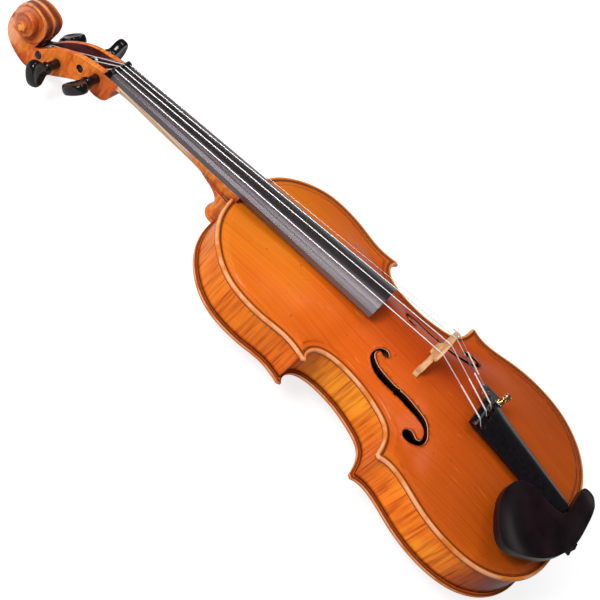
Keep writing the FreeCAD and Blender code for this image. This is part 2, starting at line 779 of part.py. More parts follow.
cheekTop = [(495.65, -6.4), (504, -9), (521, -14.5), (534, -22.8), (545, -33), (552.2, -41.2), (556.2, -44.2)]
scrollRim = [(556.2, -44.2), (554.6, -36.5), (553.6, -28), (556.4, -19.6), (565, -15.8), (574, -15.9),
             (580.8, -19), (585.2, -30.4), (586.6, -44.2), (584.4, -53), (579, -59.6), (570, -63.9),
             (558.4, -65.2), (545, -59.2), (533.5, -51), (523, -42.2), (511, -33.2), (499, -30.4)]
chin = [(499, -30.4), (490, -30.2), (485.4, -28.2), (483.1, -24.6), (482.8, -20.8), (483.4, -17), (482, -13.4),
        (478, -11)]


def sideEdges(points):
    """A curve drawn in side view, as (y, z) pairs."""
    return spline([(0, y, z) for y, z in points]).toShape()


def headBlank():
    """Pegbox and scroll, sawn to the side view and then to the front view."""
    start = chin[-1]
    seatEnd = (start[0], boardSeat(start[0]))
    shelf = (cheekTop[0][0], boardSeat(cheekTop[0][0]))
    lines = [(start, seatEnd), (seatEnd, shelf), (shelf, cheekTop[0])]
    edges = [sideEdges(cheekTop), sideEdges(scrollRim), sideEdges(chin)]
    edges += [Part.makeLine(Vector(0, *a), Vector(0, *b)) for a, b in lines]
    side = Part.Face(Part.Wire(Part.__sortEdges__(edges)))
    side.translate(Vector(-headHalf, 0, 0))
    blank = side.extrude(Vector(size.headWidth, 0, 0))
    across = [(headHalf - 1.2, start[0] - 2), (headHalf - 0.7, 489), (headHalf, 495), (headHalf - 0.35, 510),
              (headHalf - 1, 533), (headHalf - 3, 552), (headHalf - 4.8, 566), (headHalf - 5.6, 580),
              (headHalf - 5.4, 590)]
    treble = spline([(x, y, 0) for x, y in across]).toShape()
    first, last = across[0], across[-1]
    plan = [treble, mirrored(treble), Part.makeLine(Vector(-first[0], first[1], 0), Vector(*first, 0)),
            Part.makeLine(Vector(-last[0], last[1], 0), Vector(*last, 0))]
    return blank.common(prism(plan, -80, 10))


# the volute: angle in degrees round the eye, from the back over the top, then the radius and the reach
# of the turn's edge there
eyePlace = (569.0, -31.0)
turns = [(-70, 17.6, 6.9), (0, 16.4, 8.4), (90, 15.7, 9.2), (180, 15.4, 10.3), (270, 14.2, 11.8),
         (360, 12.2, 13.5), (450, 10.4, 15.3), (540, 8.8, 16.9), (630, 7.2, 18.3), (720, 5.7, 19.4),
         (810, 4.4, 20.3), (900, 3.4, size.coilEye)]
quarter = 90
turnDepth = 8.5
turnScoop = 0.7


def turnCurve(column):
    """Radius or reach of the volute's edge as a smooth curve over the angle."""
    angles = [turn[0] for turn in turns]
    return spline([(turn[0] / 100, turn[column], 0) for turn in turns], angles)


turnRadius = turnCurve(1)
turnReach = turnCurve(2)


def turnSection(angle):
    """Cut through the winding at one angle: a sharp edge, a scooped face and a root in the core."""
    last = turns[-1][0]
    outer = turnRadius.value(angle).y
    inner = turnRadius.value(min(angle + 360, last)).y - 0.8
    if angle + 360 > last:
        inner = 1.0
    reach = turnReach.value(angle).y
    root = reach - turnDepth
    outline = [(outer, reach - 0.5), (outer - 0.5, reach), ((outer + inner) / 2, reach - turnScoop),
               (inner, reach - 0.2), (inner, root), (outer, root)]
    lean = math.radians(angle)
    corners = [Vector(x, eyePlace[0] + r * math.cos(lean), eyePlace[1] + r * math.sin(lean))
               for r, x in outline]
    return Part.makePolygon(corners + corners[:1])


def scrollTurns():
    """The winding in quarter turns round a stepless core, the same on both sides."""
    first, last = turns[0][0], turns[-1][0]
    marks = [first] + list(range(0, last + 1, quarter))
    pieces = []
    for start, end in zip(marks, marks[1:]):
        sections = [turnSection(start + (end - start) * step / 6) for step in range(7)]
        pieces.append(Part.makeLoft(sections, True, False))
    core = [(radius - 0.3, reach - turnDepth + 0.9) for angle, radius, reach in turns[1:]]
    core = [(core[0][0], 0)] + core + [(0, core[-1][1]), (0, 0)]
    ridge = [Vector(x, eyePlace[0] + radius, eyePlace[1]) for radius, x in core]
    cone = Part.Face(Part.makePolygon(ridge + ridge[:1]))
    cone = cone.revolve(Vector(0, *eyePlace), Vector(1, 0, 0), 360)
    eye = Part.makeSphere(2.2, Vector(size.coilEye - 1.4, *eyePlace))
    eye = eye.common(Part.makeBox(size.coilEye, 60, 60, Vector(0, eyePlace[0] - 30, eyePlace[1] - 30)))
    half = pieces[0].multiFuse(pieces[1:] + [cone, eye])
    return half.fuse(mirrored(half))


def pegboxCavity():
    floor = [(494, -22.4), (503, -23.6), (514.6, -28.7), (525, -36.5), (533, -43.4), (543, -50.3),
             (550, -53.6), (555.2, -54.2)]
    corners = [(555.2, -54.2), (555.4, -42), (540, -12), (522, 2), (495.9, 6), (495.9, -11), (494, -13),
               (494, -22.4)]
    edges = [sideEdges(floor)] + [Part.makeLine(Vector(0, *a), Vector(0, *b))
                                  for a, b in zip(corners, corners[1:])]
    side = Part.Face(Part.Wire(Part.__sortEdges__(edges)))
    side.translate(Vector(-headHalf, 0, 0))
    hollow = side.extrude(Vector(size.headWidth, 0, 0))
    near = headHalf - size.cheekThickness
    plan = polygon([(-near, 490), (near, 490), (near - 0.6, 530), (4.4, 556.5), (-4.4, 556.5),
                    (-near + 0.6, 530)])
    return hollow.common(prism(plan, -80, 10))


pegPlaces = {
    "g": (499.2, -16.9, -1, 47),
    "e": (514.6, -22.7, 1, 86),
    "d": (532.8, -36.5, -1, 121),
    "a": (550.0, -46.2, 1, 133),
}
cheekReach = {"g": headHalf, "e": headHalf - 0.5, "d": headHalf - 1, "a": headHalf - 2.6}


def pegRadius(name, x):
    """Radius of a peg at a distance x from the middle, positive towards its head."""
    return size.pegDiameter / 2 + (x - cheekReach[name]) / 2 / size.pegTaper


def pegCone(name, start, end, gap=0.0):
    """The tapered part of a peg between two distances along it."""
    y, z, side, turn = pegPlaces[name]
    return Part.makeCone(pegRadius(name, start) + gap, pegRadius(name, end) + gap, end - start,
                         Vector(side * start, y, z), Vector(side, 0, 0))


def makeNeck():
    solid = neckShaft().fuse(heel()).fuse(headBlank()).fuse(scrollTurns())
    solid = solid.cut(pegboxCavity())
    for name in pegPlaces:
        solid = solid.cut(pegCone(name, -headHalf - 4, headHalf + 4, size.pegHoleGap))
    return solid.removeSplitter()


addShape("neck", makeNeck())
print("neck done")


# ---------------------------------------------------------------- fingerboard, nut and saddle
def crownDrop(x):
    """How far the round of the board has fallen at a distance from its middle."""
    return size.boardRadius - math.sqrt(size.boardRadius ** 2 - x ** 2)


def boardTop(x, y):
    return boardSeat(y) + size.boardEdge + crownDrop(boardHalf(y)) - crownDrop(x)


def boardSection(y):
    half = boardHalf(y)
    low = boardSeat(y) + size.pieceGap
    corners = [Vector(-half, y, boardTop(half, y)), Vector(-half, y, low), Vector(half, y, low),
               Vector(half, y, boardTop(half, y))]
    crown = Part.Arc(corners[0], Vector(0, y, boardTop(0, y)), corners[3]).toShape()
    return Part.Wire([crown] + [Part.makeLine(a, b) for a, b in zip(corners, corners[1:])])


def fingerboard():
    end = nutPlace - size.boardLength
    board = Part.makeLoft([boardSection(nutPlace - size.pieceGap), boardSection(end)], True, True)
    start = size.bodyLength - 14
    along = Vector(0, end - 2 - start, boardSeat(end - 2) - boardSeat(start) + 3.2)
    hollow = Part.makeCone(24, 26, along.Length, Vector(0, start, boardSeat(start) - 23.4), along)
    return board.cut(hollow)


addShape("fingerboard", fingerboard())

# each string: spread at the nut, height over the nut's own seat, and its diameter
stringNames = ["g", "d", "a", "e"]
stringSize = dict(zip(stringNames, (size.gString, size.dString, size.aString, size.eString)))
nutX = {name: -size.nutSpread / 2 + size.nutSpread * place / 3 for place, name in enumerate(stringNames)}
bridgeX = {name: -size.bridgeSpread / 2 + size.bridgeSpread * place / 3
           for place, name in enumerate(stringNames)}
bridgeZ = {"g": 43.3, "d": 46.1, "a": 45.3, "e": 41.8}
nutTop = {name: boardTop(nutX[name], nutPlace) + size.nutRise for name in stringNames}


def nutShape():
    """The nut stands on the neck's own seat, higher than the board and rounded to the head."""
    front, back = nutPlace, nutPlace + size.nutDepth
    low = size.pieceGap
    side = [(front, boardSeat(front) + low), (front, boardTop(0, front) + size.nutRise + 0.6)]
    rear = (back - 0.05, boardSeat(back) + low)
    bow = [side[1], (front + 1.6, side[1][1] - 0.1), (front + 3.6, side[1][1] - 1.5), (back - 0.5, rear[1] + 2.4),
           rear]
    edges = [sideEdges(bow), Part.makeLine(Vector(0, *side[0]), Vector(0, *side[1])),
             Part.makeLine(Vector(0, *rear), Vector(0, *side[0]))]
    block = Part.Face(Part.Wire(Part.__sortEdges__(edges)))
    half = size.nutWidth / 2
    block.translate(Vector(-half, 0, 0))
    block = block.extrude(Vector(2 * half, 0, 0))
    rim = 0.6 + size.nutRise
    crown = Part.makeCylinder(size.boardRadius + rim, 12,
                              Vector(0, front - 3, boardTop(0, front) - size.boardRadius), Vector(0, 1, 0))
    return block.common(crown)


def saddleShape():
    """The saddle bears the tail gut over the edge of the top plate."""
    half = size.saddleWidth / 2
    top = ribTop + size.saddleHeight
    low = ribTop + size.pieceGap
    side = polygon([(-0.4, low), (size.saddleDepth, low), (size.saddleDepth, top - 1.8), (3.4, top),
                    (0.9, top - 0.1), (-0.4, top - 1.3)])
    face = Part.Face(Part.Wire([edge.toShape() for edge in side]))
    face.rotate(Vector(), Vector(1, 0, 0), 90)
    face.rotate(Vector(), Vector(0, 0, 1), 90)
    face.translate(Vector(-half, 0, 0))
    block = face.extrude(Vector(2 * half, 0, 0))
    front = spline([(-half, low, 0), (-0.6 * half, top - 0.9, 0), (-0.3 * half, top, 0), (0, top + 0.05, 0),
                    (0.3 * half, top, 0), (0.6 * half, top - 0.9, 0), (half, low, 0)]).toShape()
    bow = Part.Face(Part.Wire([front, Part.makeLine(Vector(half, low, 0), Vector(-half, low, 0))]))
    bow.rotate(Vector(), Vector(1, 0, 0), 90)
    bow.translate(Vector(0, 20, 0))
    return block.common(bow.extrude(Vector(0, -40, 0)))



# ---------------------------------------------------------------- cords
def cordWire(points, radii):
    """Straight runs joined by arcs that touch both runs."""
    points = [Vector(point) for point in points]
    edges = []
    here = points[0]
    for index, radius in enumerate(radii, start=1):
        before = (points[index - 1] - points[index]).normalize()
        after = (points[index + 1] - points[index]).normalize()
        turn = math.pi - before.getAngle(after)
        reach = radius * math.tan(turn / 2)
        start = points[index] + before * reach
        end = points[index] + after * reach
        inward = (before + after).normalize()
        centre = points[index] + inward * (radius / math.cos(turn / 2))
        middle = centre - inward * radius
        edges.append(Part.makeLine(here, start))
        edges.append(Part.Arc(start, middle, end).toShape())
        here = end
    edges.append(Part.makeLine(here, points[-1]))
    return Part.Wire(edges)


def cordSolid(wire, diameter):
    edge = wire.Edges[0]
    start = edge.valueAt(edge.FirstParameter)
    along = edge.tangentAt(edge.FirstParameter)
    ring = Part.Wire([Part.makeCircle(diameter / 2, start, along)])
    return wire.makePipeShell([ring], True, False)


def tangentPlace(point, centre, radius, side):
    """Where a line from a point in side view touches a circle; side picks which of the two."""
    dy, dz = centre[0] - point[0], centre[1] - point[1]
    away = math.hypot(dy, dz)
    lean = math.atan2(dz, dy) + side * math.asin(radius / away)
    reach = math.sqrt(away ** 2 - radius ** 2)
    return (point[0] + reach * math.cos(lean), point[1] + reach * math.sin(lean))


coilX = {"g": -6.4, "d": -3.4, "a": 3.2, "e": 6.3}      # where each string reaches its coil
coilTurns = {"g": 5, "d": 5, "a": 5, "e": 6}
bridgeFace = bridgePlace - 1.8                          # tail side of the bridge, upright
crownMiddle = bridgeFace + size.bridgeCrown / 2
tailFret = (size.tailpieceFront - 4.4, size.tailpieceFrontHeight + 1.25)
tailX = {"g": -size.tailSpread / 2, "d": -size.tailSpread / 6, "a": size.tailSpread / 6,
         "e": size.tailSpread / 2 + 1.4}
tailDrop = {"g": 1.1, "d": 0, "a": 0, "e": 1.1}
hookPlace = (125.0, 25.6)


def coilRadius(name):
    return pegRadius(name, abs(coilX[name])) + stringSize[name]


def stringPoints(name):
    """The route of one string from its peg to its anchor."""
    radius = stringSize[name] / 2
    y, z, side, turn = pegPlaces[name]
    top = nutTop[name] + radius
    over = (nutPlace + 2.6, top - 0.25)
    landing = tangentPlace(over, (y, z), coilRadius(name) + size.pieceGap + radius, 1)
    points = [(coilX[name], landing[0], landing[1]), (nutX[name], over[0], over[1]),
              (nutX[name], nutPlace + 0.6, top), (bridgeX[name], crownMiddle + 0.7, bridgeZ[name] + radius),
              (bridgeX[name], crownMiddle - 0.7, bridgeZ[name] + radius)]
    radii = [2.2, 4.0, 2.5, 2.5]
    if name == "e":
        points.append((tailX[name], hookPlace[0], hookPlace[1] + radius))
    else:
        drop = tailDrop[name]
        points.append((tailX[name], tailFret[0], tailFret[1] - drop + radius))
        points.append((tailX[name], tailFret[0] - 5.2, tailFret[1] - drop - 4.8))
        radii.append(2.0)
    return points, radii


def stringWire(name):
    return cordWire(*stringPoints(name))


def grooves(clearance):
    """Room for the four strings where they cross a piece."""
    cords = [cordSolid(stringWire(name), stringSize[name] + 2 * clearance) for name in stringNames]
    return cords[0].multiFuse(cords[1:])


stringRoom = grooves(size.pieceGap)
for name in stringNames:
    addShape(name + "_string", cordSolid(stringWire(name), stringSize[name]))
addShape("nut", nutShape().cut(stringRoom))
print("strings done")


# ---------------------------------------------------------------- pegs
def pegShape(name):
    """A peg along x, its head on the positive side, measured from the middle of the pegbox."""
    reach = cheekReach[name]
    thinEnd = -reach + 1.1 if name == "e" else -reach - 0.5
    collar = reach + size.pegShankBare
    shank = Part.makeCone(pegRadius(name, thinEnd), pegRadius(name, collar - 4), collar - 4 - thinEnd,
                          Vector(thinEnd, 0, 0), Vector(1, 0, 0))
    ring = size.pegCollarDiameter / 2
    thick = pegRadius(name, collar - 4)
    profile = spline([(collar - 3.4, thick, 0), (collar - 2.9, ring - 0.3, 0), (collar - 1.9, ring, 0),
                      (collar - 0.9, ring - 0.3, 0), (collar - 0.2, thick + 0.3, 0), (collar + 1.6, thick, 0)])
    corners = [Vector(collar + 1.6, thick, 0), Vector(collar + 1.6, 0, 0), Vector(collar - 5, 0, 0),
               Vector(collar - 5, thick, 0), Vector(collar - 3.4, thick, 0)]
    outline = [profile.toShape()] + [Part.makeLine(a, b) for a, b in zip(corners, corners[1:])]
    turned = Part.Face(Part.Wire(outline)).revolve(Vector(), Vector(1, 0, 0), 360)
    long = size.pegHeadReach
    wide = size.pegHeadWidth / 2
    edge = [(0, 0.32), (0.1, 0.42), (0.26, 0.74), (0.46, 0.97), (0.66, 1), (0.85, 0.82), (0.96, 0.5), (1, 0.16)]
    upper = [(collar + x * long, y * wide, 0) for x, y in edge]
    lower = [(x, -y, z) for x, y, z in reversed(upper)]
    sides = [spline(upper).toShape(), Part.makeLine(Vector(*upper[-1]), Vector(*lower[0])),
             spline(lower).toShape(), Part.makeLine(Vector(*lower[-1]), Vector(*upper[0]))]
    head = Part.Face(Part.Wire(sides))
    half = size.pegHeadThickness / 2
    head.translate(Vector(0, 0, -half))
    head = head.extrude(Vector(0, 0, 2 * half))
    for direction in (-1, 1):
        centre = Vector(collar + 0.62 * long, -20, direction * (half - 2.1 + 14))
        head = head.cut(Part.makeCylinder(14, 40, centre, Vector(0, 1, 0)))
    return shank.fuse(turned).fuse(head)


def coilShape(name):
    """The turns of string wound on a peg, side by side, as one ring."""
    turns, thick = coilTurns[name], stringSize[name]
    outward = -1 if coilX[name] > 0 else 1
    edges = []
    centre = coilRadius(name) - thick / 2
    start = coilX[name] - outward * thick / 2
    for turn in range(turns):
        a, b = start + outward * turn * thick, start + outward * (turn + 1) * thick
        edges.append(Part.Arc(Vector(a, centre, 0), Vector((a + b) / 2, centre + thick / 2, 0),
                              Vector(b, centre, 0)).toShape())
    inner = centre - thick / 2 + 0.06
    corners = [Vector(b, centre, 0), Vector(b, inner, 0), Vector(start, inner, 0), Vector(start, centre, 0)]
    edges += [Part.makeLine(p, q) for p, q in zip(corners, corners[1:])]
    return Part.Face(Part.Wire(edges)).revolve(Vector(), Vector(1, 0, 0), 360)


for name in stringNames:
    y, z, side, turn = pegPlaces[name]
    peg = addShape(name + "_peg", pegShape(name))
    spun = Rotation(Vector(1, 0, 0), turn)
    peg.Placement = FreeCAD.Placement(Vector(0, y, z), Rotation(Vector(0, 0, 1), 0 if side > 0 else 180) * spun)
    coil = addShape(name + "_string_coil", coilShape(name))
    coil.Placement = FreeCAD.Placement(Vector(0, y, z), Rotation())
print("pegs done")


# ---------------------------------------------------------------- sleeve of the thin string
def sleeveWire():
    """The stretch of the thinnest string that crosses the bridge."""
    points, radii = stringPoints("e")
    crown = Vector(*points[3])
    before = (Vector(*points[2]) - crown).normalize()
    after = (Vector(*points[5]) - Vector(*points[4])).normalize()
    return cordWire([crown + before * 4.2, crown, points[4], Vector(*points[4]) + after * 3.6], radii[2:4])


sleeveRoom = cordSolid(sleeveWire(), 1.4)
addShape("string_sleeve", cordSolid(sleeveWire(), 1.3).cut(cordSolid(stringWire("e"), size.eString + 0.12)))


# ---------------------------------------------------------------- bridge
def upright(edges, face, thickness):
    """A plate of a given thickness standing across the violin, from edges drawn as (x, z) pairs."""
    flat = Part.Face(Part.Wire(Part.__sortEdges__([edge.toShape() if hasattr(edge, "toShape") else edge
                                                   for edge in edges])))
    flat.rotate(Vector(), Vector(1, 0, 0), 90)
    flat.translate(Vector(0, face + thickness, 0))
    return flat.extrude(Vector(0, -thickness, 0))


def flatSpline(points):
    return spline([(x, z, 0) for x, z in points])


def bridgeShape():
    feet = size.bridgeFeet / 2
    crown = [(-19.4, 41.4), (-16.8, 43.6), (-11.3, 45.6), (-5.6, 46.6), (0, 46.6), (5.6, 45.8), (11.3, 44.3),
             (16.8, 42.0), (19.4, 39.8)]
    flank = [(20.2, 38.0), (19.2, 35.6), (15.6, 33.7), (12.3, 31.6), (11.7, 28.8), (13.4, 25.6),
             (17.2, 22.4), (18.9, 19.2), (18.4, 16.2), (feet, 14.6)]
    treble = [crown[-1]] + flank
    bass = [crown[0]] + [(-x, z) for x, z in flank]
    inside = [(9.4, 14.6), (10.4, 15.6), (12.3, 17.9), (11.3, 21.2), (6.6, 23.8), (0, 24.8)]
    inside += [(-x, z) for x, z in reversed(inside[:-1])]
    ends = [((feet, 14.6), (feet, 8)), ((feet, 8), (9.4, 8)), ((9.4, 8), (9.4, 14.6)),
            ((-feet, 14.6), (-feet, 8)), ((-feet, 8), (-9.4, 8)), ((-9.4, 8), (-9.4, 14.6))]
    edges = [flatSpline(crown), flatSpline(treble), flatSpline(bass), flatSpline(inside)]
    edges += [Part.LineSegment(Vector(*a, 0), Vector(*b, 0)) for a, b in ends]
    blank = upright(edges, bridgeFace, size.bridgeThickness)
    for side in (-1, 1):
        kidney = [(14.6, 30.4), (10.4, 31.6), (7.4, 29.6), (7.6, 27), (10, 25.9), (11.4, 27.6), (13, 29)]
        around = Part.BSplineCurve()
        around.interpolate(Points=[Vector(side * x, z, 0) for x, z in kidney], PeriodicFlag=True)
        blank = blank.cut(upright([around], bridgeFace - 1, size.bridgeThickness + 2))
    heart = [(0, 30.4), (3.0, 33.2), (3.6, 35.6), (1.9, 36.7), (0, 35.6)]
    heart += [(-x, z) for x, z in reversed(heart[1:-1])]
    around = Part.BSplineCurve()
    around.interpolate(Points=[Vector(x, z, 0) for x, z in heart], PeriodicFlag=True)
    blank = blank.cut(upright([around], bridgeFace - 1, size.bridgeThickness + 2))
    wedge = [(bridgeFace, 8), (bridgeFace, 50), (bridgeFace + size.bridgeCrown, 47),
             (bridgeFace + size.bridgeCrown + 0.15, 45), (bridgeFace + size.bridgeThickness, 22),
             (bridgeFace + size.bridgeThickness, 8)]
    side = Part.Face(Part.Wire([Part.makeLine(Vector(0, *a), Vector(0, *b))
                                for a, b in zip(wedge, wedge[1:] + wedge[:1])]))
    side.translate(Vector(-30, 0, 0))
    blank = blank.common(side.extrude(Vector(60, 0, 0)))
    bed = underTop.copy()
    bed.translate(Vector(0, 0, 0.1))
    return blank.cut(bed).cut(stringRoom).cut(sleeveRoom)


addShape("bridge", bridgeShape())
print("bridge done")


# ---------------------------------------------------------------- tailpiece and tail gut
tailTip = size.tailpieceFront - size.tailpieceLength
tailSlope = (size.tailpieceFrontHeight - size.tailpieceTipHeight) / size.tailpieceLength


def tailTop(y):
    """Height of the tailpiece along its middle."""
    return size.tailpieceTipHeight + (y - tailTip) * tailSlope


def tailSection(y, half, crown, edge):
    low = tailTop(y) - crown - edge
    left, right = Vector(-half, y, tailTop(y) - crown), Vector(half, y, tailTop(y) - crown)
    arc = Part.Arc(left, Vector(0, y, tailTop(y)), right).toShape()
    return Part.Wire([arc, Part.makeLine(right, Vector(half, y, low)),
                      Part.makeLine(Vector(half, y, low), Vector(-half, y, low)),
                      Part.makeLine(Vector(-half, y, low), left)])


def fretShape(clearance):
    """The raised fret the strings cross on the tailpiece."""
    depth = 1.6 + 2 * clearance
    radius = 91.0
    top = tailFret[1] + 0.14
    block = Part.makeBox(31.4 + 2 * clearance, depth, 12,
                         Vector(-19.6 - clearance, tailFret[0] - depth / 2, 16.9 - clearance))
    round_ = Part.makeCylinder(radius, depth, Vector(0, tailFret[0] - depth / 2, top - radius), Vector(0, 1, 0))
    under = Part.makeCylinder(70, depth, Vector(0, tailFret[0] - depth / 2, tailTop(tailFret[0]) - 1.0 - 70),
                              Vector(0, 1, 0))
    return block.common(round_).cut(under)


def gutPoints():
    """The tail gut: out of the tailpiece, over the saddle, round the button and back."""
    half = size.buttonNeckDiameter / 2 + size.gutDiameter / 2 + size.pieceGap
    saddleTop = ribTop + size.saddleHeight + size.gutDiameter / 2
    middle = (ribTop + ribBottom) / 2
    out = -0.4 - size.gutDiameter / 2 - size.pieceGap
    return half, [(-half, tailTip + 8, 11.2), (-half, 3.2, saddleTop), (-half, out, saddleTop - 0.9),
                  (-half, out, middle)]


def gutWire():
    half, points = gutPoints()
    leg = cordWire(points, [3.0, 1.9])
    end = Vector(*points[-1])
    loop = Part.Arc(end, end + Vector(half, 0, -half), end + Vector(2 * half, 0, 0)).toShape()
    back = [edge.mirror(Vector(), Vector(1, 0, 0)) for edge in leg.Edges]
    return Part.Wire(Part.__sortEdges__(leg.Edges + [loop] + back))


gutRoom = cordSolid(gutWire(), size.gutDiameter + 2 * size.pieceGap)
addShape("tail_gut", cordSolid(gutWire(), size.gutDiameter))
addShape("saddle", saddleShape().cut(gutRoom))


def tailpieceShape():
    front, tip = size.tailpieceFront, tailTip
    half, tipHalf = size.tailpieceWidth / 2, size.tailpieceTip / 2
    stations = [(tip, 0.62 * tipHalf, 3.2, 2.4), (tip + 2.4, 0.88 * tipHalf, 4.2, 2.6),
                (tip + 6, tipHalf, 4.6, 2.6), (tip + 42, 0.62 * tipHalf + 0.42 * half, 4.8, 2.5),
                (tip + 80, 0.87 * half, 4.2, 2.4), (front - 4, 0.99 * half, 3.4, 2.2), (front, half, 3.2, 2.2)]
    body = Part.makeLoft([tailSection(*station) for station in stations], True, True)
    hollow = [(tip + 20, 6.6, 4.2, 0), (tip + 60, 12.4, 4.2, 0), (front + 1, 17.4, 3.2, 0)]
    inside = []
    for y, wide, crown, edge in hollow:
        low = tailTop(y) - 8.5
        top = tailTop(y) - 3.4
        left, right = Vector(-wide, y, top - 0.75 * crown), Vector(wide, y, top - 0.75 * crown)
        inside.append(Part.Wire([Part.Arc(left, Vector(0, y, top), right).toShape(),
                                 Part.makeLine(right, Vector(wide, y, low)),
                                 Part.makeLine(Vector(wide, y, low), Vector(-wide, y, low)),
                                 Part.makeLine(Vector(-wide, y, low), left)]))
    body = body.cut(Part.makeLoft(inside, True, True))
    for name in stringNames:
        hole = Part.makeCylinder(2.3, 30, Vector(tailX[name], front - 10.6, 5))
        body = body.cut(hole)
        if name != "e":
            body = body.cut(Part.makeBox(1.5, 5.4, 30, Vector(tailX[name] - 0.75, front - 10.6, 5)))
    return body.cut(fretShape(size.pieceGap)).cut(gutRoom)


addShape("tailpiece", tailpieceShape())
addShape("tailpiece_fret", fretShape(0).cut(stringRoom))

button = addBody("end_button")
neckRadius = size.buttonNeckDiameter / 2
shankRadius = size.buttonShankDiameter / 2
knob = size.buttonHeadDiameter / 2
buttonLine = [(0, 18.5), (0.92 * shankRadius, 18.5), (shankRadius, 6), (shankRadius, 2.65), (knob - 1.4, 2.65),
              (knob - 1.4, 0.9), (neckRadius, 0.2), (neckRadius, -3.0), (knob - 0.6, -3.2), (knob, -4.6),
              (knob, -8.0), (knob - 2.2, -10.0), (0, -10.5)]
buttonSketch = addSketch(button, "endButtonSketch", "XY_Plane", polygon(buttonLine))
addRevolution(button, buttonSketch, "V_Axis")
button.Placement = FreeCAD.Placement(Vector(0, 0, (ribTop + ribBottom) / 2), Rotation())
print("tail done")


# ---------------------------------------------------------------- fine tuner of the thin string
tunerX = tailX["e"]
tunerBack = size.tailpieceFront - 10.6                    # axis of the hole and of the knurled nut
tunerHalf = size.tunerWidth / 2
tunerSeat = (tailTop(size.tailpieceFront) - 0.85
             - 3.2 * ((tunerX - tunerHalf) / (size.tailpieceWidth / 2)) ** 2)
pinPlace = (tunerBack + 14.6, 21.4)


def tunerFrame():
    """Saddle-shaped base: two side plates, a floor over the tailpiece and a threaded neck."""
    wall = size.tunerPlate
    floor = tunerSeat + 1.0
    plates = []
    for start in (tunerX - tunerHalf, tunerX + tunerHalf - wall):
        low = floor - 5.6
        plate = Part.makeBox(wall, 8.2, 6.6, Vector(start, tunerBack + 11.2, low))
        plates.append(plate)
    top = Part.makeBox(2 * tunerHalf, 20.4, 1.2, Vector(tunerX - tunerHalf, tunerBack - 3.0, floor))
    opening = Part.makeBox(2.6, 6.4, 4, Vector(tunerX - 1.3, tunerBack + 12.2, floor - 1))
    neck = Part.makeCylinder(2.1, 5.4, Vector(tunerX, tunerBack, floor - 4.4))
    frame = top.cut(opening).fuse(plates[0]).fuse(plates[1]).fuse(neck)
    bore = Part.makeCylinder(size.tunerScrewDiameter / 2 + 0.05, 20, Vector(tunerX, tunerBack, floor - 10))
    pin = Part.makeCylinder(0.8 + 0.03, 20, Vector(tunerX - 10, *pinPlace), Vector(1, 0, 0))
    return frame.cut(bore).cut(pin)


def tunerLever():
    """The rocking lever: an upright hook for the string and a long arm under the tailpiece."""
    y, z = pinPlace
    half = tunerHalf - size.tunerPlate - 0.12
    foot = tunerSeat - 7.4
    outline = [(y + 3.6, hookPlace[1] + 1.3), (y + 1.9, hookPlace[1] + 1.3), (y - 1.5, z + 1.4), (y - 2.0, z - 1.6),
               (y - 4.6, foot + 1.5), (tunerBack - 1.6, foot + 1.2), (tunerBack - 1.6, foot - 0.2),
               (y - 2.6, foot - 0.2), (y + 2.0, z - 1.8), (y + 2.2, z + 1.2), (y + 4.4, hookPlace[1] - 0.8)]
    side = Part.Face(Part.Wire([Part.makeLine(Vector(0, *a), Vector(0, *b))
                                for a, b in zip(outline, outline[1:] + outline[:1])]))
    side.translate(Vector(tunerX - 1.1, 0, 0))
    arm = side.extrude(Vector(2.2, 0, 0))
    hub = Part.makeCylinder(1.9, 2 * half, Vector(tunerX - half, y, z), Vector(1, 0, 0))
    lever = arm.fuse(hub)
    lever = lever.cut(Part.makeCylinder(0.8 + 0.05, 20, Vector(tunerX - 10, y, z), Vector(1, 0, 0)))
    slot = Part.makeBox(0.5, 8, 6, Vector(tunerX - 0.25, y + 0.9, hookPlace[1] - 0.5))
    return lever.cut(slot)


def tunerPin():
    long = 2 * tunerHalf + 0.6
    return Part.makeCylinder(0.8, long, Vector(tunerX - long / 2, *pinPlace), Vector(1, 0, 0))


def tunerScrew():
    """The threaded shaft: it travels along z in the frame's neck."""
    low = tunerSeat - 6.1
    shaft = Part.makeCylinder(size.tunerScrewDiameter / 2, 13.6, Vector(tunerX, tunerBack, low))
    return shaft.fuse(Part.makeCylinder(0.7, 3.4, Vector(tunerX, tunerBack, low + 13.6)))


def tunerKnob():
    """Knurled, rounded head that turns the screw."""
    low = tunerSeat + 7.55
    radius = size.tunerKnobDiameter / 2 - 0.4
    stem = Part.makeCylinder(1.7, 0.8, Vector(tunerX, tunerBack, low))
    head = Part.makeCylinder(radius, 3.4, Vector(tunerX, tunerBack, low + 0.8))
    cap = Part.makeCone(radius, 1.6, 0.9, Vector(tunerX, tunerBack, low + 4.2))
    for step in range(16):
        angle = 2 * math.pi * step / 16
        rim = radius + 0.05
        flute = Part.makeCylinder(0.36, 3.0, Vector(tunerX + rim * math.cos(angle),
                                                    tunerBack + rim * math.sin(angle), low + 1.0))
        head = head.cut(flute)
    bore = Part.makeCylinder(0.75, 4.0, Vector(tunerX, tunerBack, low - 0.2))
    return stem.fuse(head).fuse(cap).cut(bore)


def tunerNut():
    """Knurled ring that clamps the frame's neck down on the tailpiece."""
    low = tunerSeat + 2.3
    ring = Part.makeCylinder(2.9, 1.9, Vector(tunerX, tunerBack, low))
    for step in range(14):
        angle = 2 * math.pi * step / 14
        ring = ring.cut(Part.makeCylinder(0.3, 3, Vector(tunerX + 2.95 * math.cos(angle),
                                                         tunerBack + 2.95 * math.sin(angle), low - 0.5)))
    bore = Part.makeCylinder(size.tunerScrewDiameter / 2 + 0.12, 4, Vector(tunerX, tunerBack, low - 1))
    return ring.cut(bore)


